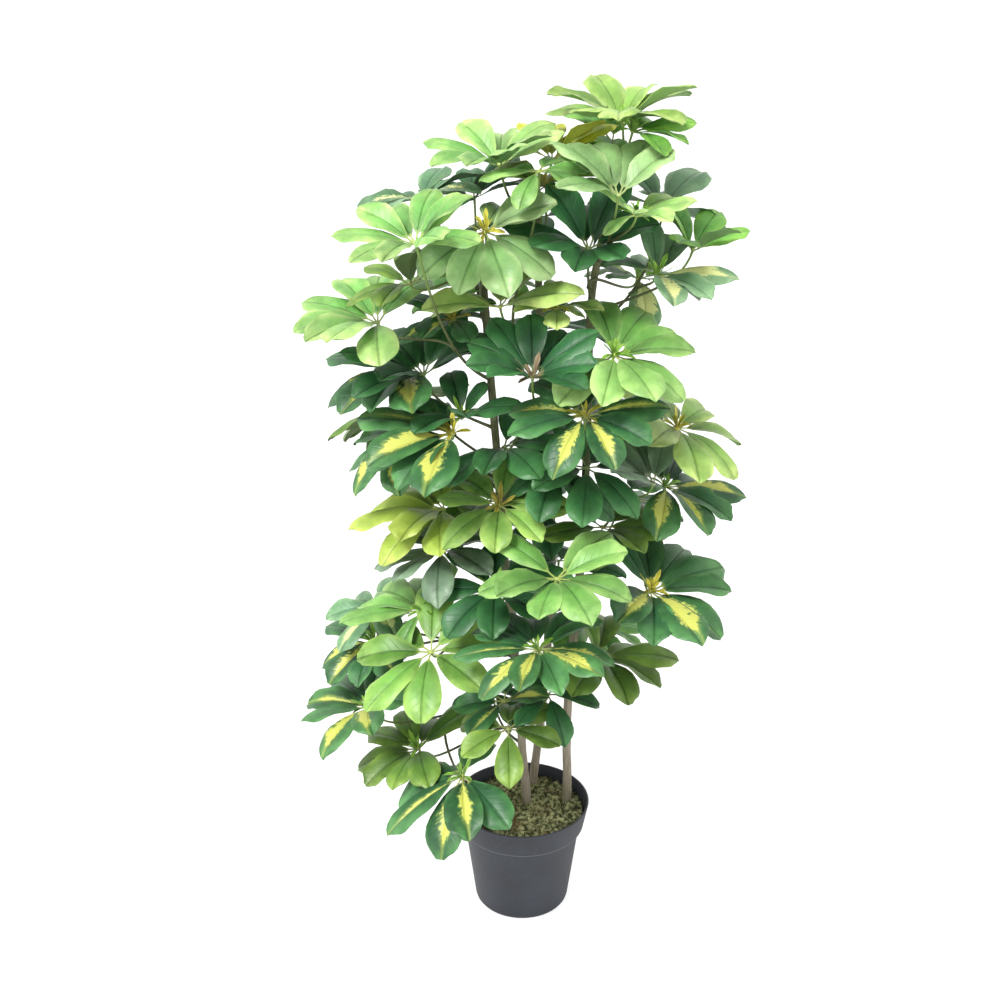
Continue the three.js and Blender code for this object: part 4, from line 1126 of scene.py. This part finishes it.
def join_parts(name, parts):
    """Joins solids into one mesh, with the blade UVs and the leaflets' own numbers on its points.
    Rims are shaded flat, and so is the fold along a midrib."""
    starts = np.cumsum([0] + [len(part["points"]) for part in parts])
    mesh = new_mesh(
        name,
        np.vstack([part["points"] for part in parts]),
        np.vstack([part["quads"] + start for part, start in zip(parts, starts)]),
        np.vstack([part["triangles"] + start for part, start in zip(parts, starts)]),
    )
    for key in ("seed", "shade", "patch", "under"):
        values = per_element(parts, key, "points").astype(np.float32)
        mesh.attributes.new("leaf_" + key, "FLOAT", "POINT").data.foreach_set("value", values)
    corner_points = np.empty(len(mesh.loops), np.int32)
    mesh.loops.foreach_get("vertex_index", corner_points)
    uv = np.vstack([part["uv"] for part in parts])[corner_points]
    mesh.uv_layers.new(name="blade").data.foreach_set("uv", uv.astype(np.float32).ravel())
    chosen = [per_element(parts, "material", faces) for faces in ("quads", "triangles")]
    mesh.polygons.foreach_set("material_index", np.concatenate(chosen).astype(np.int32))
    creased = per_element(parts, "creased", "quads")
    smooth = np.ones(len(mesh.polygons), bool)
    smooth[:len(creased)] = creased == 0
    mesh.polygons.foreach_set("use_smooth", smooth)
    on_midrib = per_element(parts, "midrib", "points") > 0
    edge_ends = np.empty(2 * len(mesh.edges), np.int32)
    mesh.edges.foreach_get("vertices", edge_ends)
    folded = on_midrib[edge_ends].reshape(-1, 2).all(axis=1)
    mesh.attributes.new("sharp_edge", "BOOLEAN", "EDGE").data.foreach_set("value", folded)
    mesh.update()
    return mesh


# %% The sprays
# how wide a patch is as a share of the half width, and how much it varies from leaflet to leaflet
PATCHED = {"marbled": 0.34, "marbled_pale": 0.5}
PATCH_VARIES = (0.85, 0.45)
PLAIN_SHARE = 0.3
PLAIN_BEHIND = 0.5
PATCHES_FADE_OVER = 0.35
# the noise tells this many leaflets apart
SEEDS = 97


def patch_of(rib, arc):
    """How wide a leaflet's yellow patch is. The leaflets at the back of an umbrella grew in its own
    shade and stay plain green, and so do some of the others."""
    if draw(arc["seed"] + 17) < 2 * PLAIN_SHARE - 1:
        return 0.0
    forward = np.clip((PLAIN_BEHIND - arc["radial"][1]) / PATCHES_FADE_OVER, 0, 1)
    return PATCHED.get(rib["finish"], 0) * forward * drawn(PATCH_VARIES, arc["seed"] + 14)


def leaf_part(solid, arc, material, patch=0.0):
    """A leaflet's solid with its material's number and its own seed, shade and patch size."""
    return dict(solid, material=material, seed=arc["seed"] % SEEDS,
                shade=draw(arc["seed"] + 15), patch=patch)


def spray_parts(ribs, material_order):
    """The solids of a spray: for each umbrella its petiole, knob, leaflets and young tuft."""
    parts = []
    for rib in ribs:
        finish = material_order.index(rib["finish"])
        parts.append(dict(petiole_solid(rib), material=material_order.index("stem")))
        parts.append(dict(knob_solid(rib), material=finish))
        parts += [leaf_part(leaflet_solid(arc), arc, finish, patch_of(rib, arc))
                  for arc in rib["arcs"]]
        if rib["tuft"]:
            young = material_order.index(rib["tuft"])
            parts += [leaf_part(leaflet_solid(arc, TUFT_ROWS, TUFT_COLUMNS, 1.0), arc, young)
                      for arc in tuft_arcs(rib)]
    return parts


for name, (_, _, ribs) in SPRAYS.items():
    order = sorted({rib["finish"] for rib in ribs} | {rib["tuft"] for rib in ribs if rib["tuft"]})
    order.append("stem")
    node = "spray_" + name
    mesh = join_parts("leafy_" + name, spray_parts(ribs, order))
    used = [leaf_materials.get(finish, stem) for finish in order]
    new_piece(mesh, used, [node])
print("sprays dressed:", len(SPRAYS))

# %% [markdown]
# ## Bark
# The trunks are slim grey-brown stems, almost smooth. Every few centimetres a leaf once grew and
# left a slight ring, and fine cracks run lengthwise. A tube along the curve gets the rings and a
# slight unevenness in its radius, and the cracks and flecks are in the material.

# %% Trunks
TRUNK_RADII = (6.2, 4.2)
TRUNK_STEPS = 260
TRUNK_SIDES = 24
RING_EVERY_MM = 31
RING_MM = 0.28
# a ring's width and how far it wanders round the trunk, as shares of the distance between rings
RING_WIDTH = 0.06
RING_WANDERS = 0.08
# the waves of the unevenness: how far they reach, millimetres of height, and lobes round the trunk
TRUNK_WAVES = ((0.16, 17, 2), (0.12, 7.3, -3))


def trunk_mesh(name):
    """A tapered tube along the trunk's curve. Its radius carries rings, one every few centimetres,
    and a slow unevenness that is a sum of waves along and round it."""
    shares = np.linspace(0, 1, TRUNK_STEPS + 1)
    centres = curve_points(TRUNKS[name], shares)
    tangents = np.gradient(centres, axis=0)
    tangents /= np.linalg.norm(tangents, axis=1, keepdims=True)
    radii = TRUNK_RADII[0] + (TRUNK_RADII[1] - TRUNK_RADII[0]) * shares
    made = tube(centres, tangents, radii, TRUNK_SIDES, np.array([0.0, 1.0, 0.0]))
    height = np.repeat(centres[:, 2], TRUNK_SIDES)
    turn = np.tile(2 * math.pi * np.arange(TRUNK_SIDES) / TRUNK_SIDES, len(centres))
    phase = len(name)
    ring_at = height / RING_EVERY_MM + RING_WANDERS * np.sin(turn + phase)
    swell = RING_MM * np.exp(-((ring_at % 1 - 0.5) / RING_WIDTH)**2)
    for number, (reach, length, lobes) in enumerate(TRUNK_WAVES, 1):
        swell = swell + reach * np.sin(height / length + lobes * turn + number * phase)
    rings = made["points"][:-2]
    middle = np.repeat(centres, TRUNK_SIDES, axis=0)
    outwards = (rings - middle) / np.linalg.norm(rings - middle, axis=1, keepdims=True)
    made["points"][:-2] = rings + outwards * swell[:, None]
    return new_mesh("bark_" + name, made["points"], made["quads"], made["triangles"])


# %% Bark finish
OLD_BARK = ("86796a", "b0a692")
YOUNG_BARK = ("4f5138", "7c7f58")
YOUNG_FROM_TO_M = (0.2, 0.65)
BARK_STREAK_SCALES = (420, 420, 38)
BARK_BUMP_M = 0.0011


def bark_material():
    """Grey-brown bark, olive and darker higher up: lengthwise streaks and pale flecks."""
    material, tree, shader = new_material("bark", roughness=0.8)
    place = object_place(tree)
    streaks = noise(tree, stretched(tree, place, BARK_STREAK_SCALES), 1, 5, roughness=0.6)
    blotches = noise(tree, place, scale=16, detail=2)
    flecks = noise(tree, place, scale=330, detail=2)
    streak_share = smooth_step(tree, streaks, low=0.25, high=0.75)
    young = smooth_step(tree, coordinate(tree, place, 2), *YOUNG_FROM_TO_M)
    colour = mix_colours(tree, young, shades(tree, streak_share, OLD_BARK),
                         shades(tree, streak_share, YOUNG_BARK))
    colour = stain(tree, colour, "7c8060", where=blotches, start=0.45, full=0.7, strength=0.45)
    colour = stain(tree, colour, "bcae98", where=flecks, start=0.62, full=0.75, strength=0.5)
    tree.links.new(colour, shader.inputs["Base Color"])
    bump(tree, shader, calculate(tree, "MULTIPLY_ADD", flecks, 0.4, streaks), BARK_BUMP_M)
    return material


bark = bark_material()
for name in TRUNKS:
    node = "trunk_" + name
    new_piece(trunk_mesh(name), [bark], [node])
print("trunks:", list(TRUNKS))

# %% [markdown]
# ## The pot
# The pot is thin moulded plastic, and everything on it is round, so it is a profile turned about
# the upright axis. The profile goes up the outside, over the lip and down the inside. Each corner
# is rounded by a short arc, since sharp corners never shine as moulded ones do.

# %% Pot
POT_SEGMENTS = 144
WALL_MM = 2.4
_, pot_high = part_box("pot")
RIM_MM = pot_high.x / MM
POT_HEIGHT_MM = pot_high.z / MM
BAND_HEIGHT_MM = 35
BAND_FOOT_MM = 83
BODY_TOP_MM = 77.5
BODY_FOOT_MM = 62.5
FLOOR_MM = 3.2
# each corner of the profile: radius, height, and how much it is rounded
band_foot = POT_HEIGHT_MM - BAND_HEIGHT_MM
POT_PROFILE = [
    (BODY_FOOT_MM - 9, 0, 0.4), (BODY_FOOT_MM, 0.3, 8), (BODY_TOP_MM, band_foot - 2, 1.2),
    (BAND_FOOT_MM, band_foot - 0.3, 1.4), (RIM_MM, POT_HEIGHT_MM, 0.9),
    (RIM_MM - WALL_MM, POT_HEIGHT_MM, 0.9), (BAND_FOOT_MM - WALL_MM, band_foot + 2, 2),
    (BODY_TOP_MM - WALL_MM, band_foot - 2, 2), (BODY_FOOT_MM - WALL_MM, 4, 4),
    (BODY_FOOT_MM - 10, FLOOR_MM, 1),
]
ARC_STEPS = 5
BAND_EDGE_MM = band_foot + 0.4


def rounded_profile(corners):
    """Rounds a profile's corners: each is replaced by a curve that leaves one side and joins the
    next at the rounding distance, as a parabola with the corner as its handle."""
    points = np.array([corner[:2] for corner in corners], float)
    rounding = np.array([corner[2] for corner in corners])
    made = [points[:1]]
    for k in range(1, len(points) - 1):
        back = unit(points[k - 1] - points[k]) * rounding[k]
        ahead = unit(points[k + 1] - points[k]) * rounding[k]
        t = np.linspace(0, 1, ARC_STEPS)[:, None]
        made.append(points[k] + back * (1 - t)**2 + ahead * t**2)
    made.append(points[-1:])
    return np.vstack(made)


def turned_mesh(name, profile, segments):
    """A profile of radius and height turned about the upright axis, with a point on the axis under
    and inside its two ends, so that it is closed."""
    turns = 2 * math.pi * np.arange(segments) / segments
    radius, height = profile[:, :1], profile[:, 1:]
    rings = np.stack([radius * np.cos(turns), radius * np.sin(turns), height + 0 * turns], axis=-1)
    points = np.vstack([rings.reshape(-1, 3), [(0, 0, profile[0, 1]), (0, 0, profile[-1, 1])]])
    here = np.arange(segments)
    beside = (here + 1) % segments
    last = (len(profile) - 1) * segments
    start = np.full(segments, len(points) - 2)
    caps = [np.stack([start, beside, here], axis=1),
            np.stack([start + 1, last + here, last + beside], axis=1)]
    quads = grid_faces(len(profile), segments, around=True)[:, ::-1]
    return new_mesh(name, points, quads, np.vstack(caps))


pot_mesh = turned_mesh("nursery_pot", rounded_profile(POT_PROFILE), POT_SEGMENTS)
print("pot points:", len(pot_mesh.vertices))


# %% Pot finish
POT_GREYS = ("32353d", "3b3f48")
# how far from the band's edge, in metres, the painted highlight ends and where it is full
BAND_HIGHLIGHT_FADE_M = (0.0013, 0.0004)
POT_BUMP_M = 0.00012


def pot_material():
    """Dark grey moulded plastic: a fine grain, soft cloudy wear, a little dust, and a painted
    highlight, a lighter line along the foot of the rim band."""
    material, tree, shader = new_material("pot_plastic")
    place = object_place(tree)
    cloud = noise(tree, place, scale=18, detail=4)
    specks = noise(tree, place, scale=420, detail=1)
    colour = shades(tree, smooth_step(tree, cloud, low=0.35, high=0.7), POT_GREYS)
    colour = stain(tree, colour, "85868a", where=specks, start=0.68, full=0.76, strength=0.2)
    # painted highlight: a lighter line along the foot of the rim band, where its edge catches the
    # light
    above = calculate(tree, "SUBTRACT", coordinate(tree, place, 2), BAND_EDGE_MM * MM)
    from_edge = calculate(tree, "ABSOLUTE", above)
    colour = stain(tree, colour, "7d8087", from_edge, *BAND_HIGHLIGHT_FADE_M, strength=0.55)
    tree.links.new(colour, shader.inputs["Base Color"])
    roughness = calculate(tree, "MULTIPLY_ADD", cloud, 0.2, 0.36)
    tree.links.new(roughness, shader.inputs["Roughness"])
    bump(tree, shader, noise(tree, place, scale=900, detail=2), POT_BUMP_M)
    return material


new_piece(pot_mesh, [pot_material()], ["pot"])

# %% [markdown]
# ## Moss and filler
# The moss is dried reindeer moss: springy clumps, olive and yellow-green, brown at the front, with
# deep gaps between them. It is a disc whose height is a sum of ever finer noise, and thousands of
# short curled strands stand on it. The filler under it hardly shows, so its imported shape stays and
# only gets a finish.

# %% Seeded noise
LATTICE_SIZE = 256
rng = np.random.default_rng(11)
LATTICE = rng.random((LATTICE_SIZE, LATTICE_SIZE))


def value_noise(x, y):
    """Smooth noise from 0 to 1: seeded values on a lattice, blended with a smooth weight."""
    column, row = np.floor(x).astype(int), np.floor(y).astype(int)
    u, v = x - column, y - row
    u, v = u * u * (3 - 2 * u), v * v * (3 - 2 * v)

    def along_row(number):
        start, end = (LATTICE[number % LATTICE_SIZE, (column + k) % LATTICE_SIZE] for k in (0, 1))
        return start * (1 - u) + end * u

    return along_row(row) * (1 - v) + along_row(row + 1) * v


LAYER_WEIGHT = 0.55
LAYER_SHIFT = (37, 11)


def layered_noise(x, y, size_mm, layers=4):
    """Noise of a size plus ever finer layers of half the size and a bit over half the weight. Each
    layer is shifted, so that the lattices don't line up."""
    total, weights = 0.0, 0.0
    for layer in range(layers):
        scale, weight = 2**layer / size_mm, LAYER_WEIGHT**layer
        shift_x, shift_y = (layer * shift for shift in LAYER_SHIFT)
        total = total + weight * value_noise(x * scale + shift_x, y * scale + shift_y)
        weights += weight
    return total / weights


# %% Moss surface
moss_low, moss_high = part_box("moss")
MOSS_RADIUS_MM = moss_high.x / MM
MOSS_BOTTOM_MM = moss_low.z / MM
MOSS_MEAN_MM = 137
MOSS_EDGE_MM = 135
MOSS_RINGS = 90
MOSS_SEGMENTS = 220
DOME_MM = 3.2
# the clumps and the curls on them: how wide they are and how high they reach
CLUMP_MM = 11
CLUMP_STEEPNESS = 1.6
CLUMP_HEIGHT_MM = 7.0
CURL_MM = 2.6
CURL_HEIGHT_MM = 3.0


def moss_height(x, y):
    """The moss's top: a low dome, clumps as ridges of noise, and fine curls on them."""
    edge = np.clip(np.hypot(x, y) / MOSS_RADIUS_MM, 0, 1)
    clumps = 1 - np.abs(2 * layered_noise(x, y, CLUMP_MM) - 1) * CLUMP_STEEPNESS
    curls = layered_noise(x + 90, y - 40, CURL_MM, 3)
    dome = MOSS_EDGE_MM + DOME_MM * (1 - edge**4)
    return dome + CLUMP_HEIGHT_MM * (clumps - 0.6) + CURL_HEIGHT_MM * (curls - 0.5)


def moss_mesh():
    """Rings of points on the moss's top, a foot ring under the last one, and a point in the middle
    of the top and of the underside."""
    radii = np.append(MOSS_RADIUS_MM * np.arange(1, MOSS_RINGS + 1) / MOSS_RINGS, MOSS_RADIUS_MM)
    turns = 2 * math.pi * np.arange(MOSS_SEGMENTS) / MOSS_SEGMENTS
    x, y = radii[:, None] * np.cos(turns), radii[:, None] * np.sin(turns)
    z = moss_height(x, y)
    z[-1] = MOSS_BOTTOM_MM
    points = np.stack([x, y, z], axis=-1).reshape(-1, 3)
    top = (0, 0, float(moss_height(np.zeros(1), np.zeros(1))[0]))
    points = np.vstack([points, [top, (0, 0, MOSS_BOTTOM_MM)]])
    here = np.arange(MOSS_SEGMENTS)
    beside = (here + 1) % MOSS_SEGMENTS
    last = MOSS_RINGS * MOSS_SEGMENTS
    middle = np.full(MOSS_SEGMENTS, len(points) - 2)
    caps = [np.stack([middle, here, beside], axis=1),
            np.stack([middle + 1, last + beside, last + here], axis=1)]
    quads = grid_faces(MOSS_RINGS + 1, MOSS_SEGMENTS, around=True)
    return new_mesh("moss_bed", points, quads, np.vstack(caps))


# %% Moss strands
STRANDS = 5200
STRAND_RINGS = 5
STRAND_SIDES = 3
STRANDS_REACH = 0.985
STRAND_SUNK_MM = 1.2
# the least and the most of what is drawn for each strand
STRAND_STEEP_DEGREES = (15, 80)
STRAND_CURL_DEGREES = (-40, 190)
STRAND_LENGTH_MM = (3.5, 8.5)
STRAND_THICK_MM = (0.35, 0.62)
STRAND_THINS = 0.75


def strands_mesh():
    """Short curled strands as three-sided tubes. Each is an arc that starts in the moss at a random
    spot, leans and curls a random way, and thins out: all of them are one array of rings."""
    radius = MOSS_RADIUS_MM * STRANDS_REACH * np.sqrt(rng.random(STRANDS))
    angle = 2 * math.pi * rng.random(STRANDS)
    x, y = radius * np.cos(angle), radius * np.sin(angle)
    foot = np.stack([x, y, moss_height(x, y) - STRAND_SUNK_MM], axis=1)
    heading = 2 * math.pi * rng.random(STRANDS)
    level = np.stack([np.cos(heading), np.sin(heading), 0 * heading], axis=1)
    beside = np.stack([-np.sin(heading), np.cos(heading), 0 * heading], axis=1)
    steep = np.radians(rng.uniform(*STRAND_STEEP_DEGREES, STRANDS))[:, None]
    curl = np.radians(rng.uniform(*STRAND_CURL_DEGREES, STRANDS))[:, None]
    length = rng.uniform(*STRAND_LENGTH_MM, STRANDS)[:, None]
    share = np.linspace(0, 1, STRAND_RINGS)[None, :]
    pitch = steep - curl * share
    step = length / (STRAND_RINGS - 1)
    out = np.cumsum(np.cos(pitch) * step, axis=1)
    rise = np.cumsum(np.sin(pitch) * step, axis=1)
    centres = foot[:, None] + level[:, None] * out[..., None] + UP * rise[..., None]
    over = -np.sin(pitch)[..., None] * level[:, None] + np.cos(pitch)[..., None] * UP
    thick = rng.uniform(*STRAND_THICK_MM, STRANDS)[:, None] * (1 - STRAND_THINS * share)
    turns = 2 * math.pi * np.arange(STRAND_SIDES) / STRAND_SIDES
    ring = (over[:, :, None] * np.cos(turns)[:, None]
            + beside[:, None, None] * np.sin(turns)[:, None]) * thick[..., None, None]
    rings = centres[:, :, None] + ring
    points = STRAND_RINGS * STRAND_SIDES
    starts = np.arange(STRANDS)[:, None, None] * points
    quads = (grid_faces(STRAND_RINGS, STRAND_SIDES, around=True)[None] + starts).reshape(-1, 4)
    caps = np.array([[0, 1, 2], [points - 3, points - 1, points - 2]])
    triangles = (caps[None] + starts).reshape(-1, 3)
    mesh = new_mesh("moss_strands", rings.reshape(-1, 3), quads, triangles)
    tint = np.repeat(rng.random(STRANDS), points).astype(np.float32)
    mesh.attributes.new("strand_tint", "FLOAT", "POINT").data.foreach_set("value", tint)
    return mesh


# %% Moss and filler finishes
MOSS_GREENS = ("50562e", "d0d09c")
# brown is strongest at the front: where along Y, in metres, that starts and is full
MOSS_FRONT_M = (-0.01, -0.06)
# painted shade darkens the gaps between the clumps from this far above the moss's mean height to
# this far below
GAP_SHADE_ABOVE_MM = 2
GAP_SHADE_BELOW_MM = 4
MOSS_BUMP_M = 0.0012
FILLER_GREYS = ("5d564c", "8b8273")
FILLER_BUMP_M = 0.0008


def moss_material(name, tinted):
    """Olive, yellow-green and brown by broad noise, with painted shade in the gaps between the
    clumps.
    """
    material, tree, shader = new_material(name, roughness=0.9)
    place = object_place(tree)
    if tinted:
        fine = add_node(tree, "ShaderNodeAttribute", attribute_name="strand_tint").outputs["Fac"]
    else:
        fine = noise(tree, place, scale=420, detail=3)
    clumps = smooth_step(tree, noise(tree, place, scale=165, detail=2), low=0.4, high=0.62)
    light = calculate(tree, "MULTIPLY_ADD", fine, 0.3, clumps)
    colour = shades(tree, smooth_step(tree, light, low=0.1, high=1.15), MOSS_GREENS)
    front = smooth_step(tree, coordinate(tree, place, 1), *MOSS_FRONT_M)
    brown = calculate(tree, "MULTIPLY_ADD", front, 0.6, 0.3)
    colour = stain(tree, colour, "8a6c4a", where=noise(tree, place, scale=42, detail=2),
                   start=0.5, full=0.66, strength=brown)
    # painted shade: the lower the moss lies between its clumps, the darker it is
    colour = stain(tree, colour, "1c1d10", where=coordinate(tree, place, 2),
                   start=(MOSS_MEAN_MM + GAP_SHADE_ABOVE_MM) * MM,
                   full=(MOSS_MEAN_MM - GAP_SHADE_BELOW_MM) * MM, strength=0.8)
    tree.links.new(colour, shader.inputs["Base Color"])
    bump(tree, shader, fine, MOSS_BUMP_M)
    return material


def filler_material():
    """Rough cast filler, sandy grey with darker grains."""
    material, tree, shader = new_material("cast_filler", roughness=0.95)
    grains = noise(tree, object_place(tree), scale=260, detail=4)
    colour = shades(tree, smooth_step(tree, grains, low=0.35, high=0.65), FILLER_GREYS)
    tree.links.new(colour, shader.inputs["Base Color"])
    bump(tree, shader, grains, FILLER_BUMP_M)
    return material


new_piece(moss_mesh(), [moss_material("moss_clumps", False)], ["moss"])
new_piece(strands_mesh(), [moss_material("moss_tips", True)])
filler_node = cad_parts["filler"]
filler_node.data.materials.clear()
filler_node.data.materials.append(filler_material())
print("moss strands:", STRANDS)
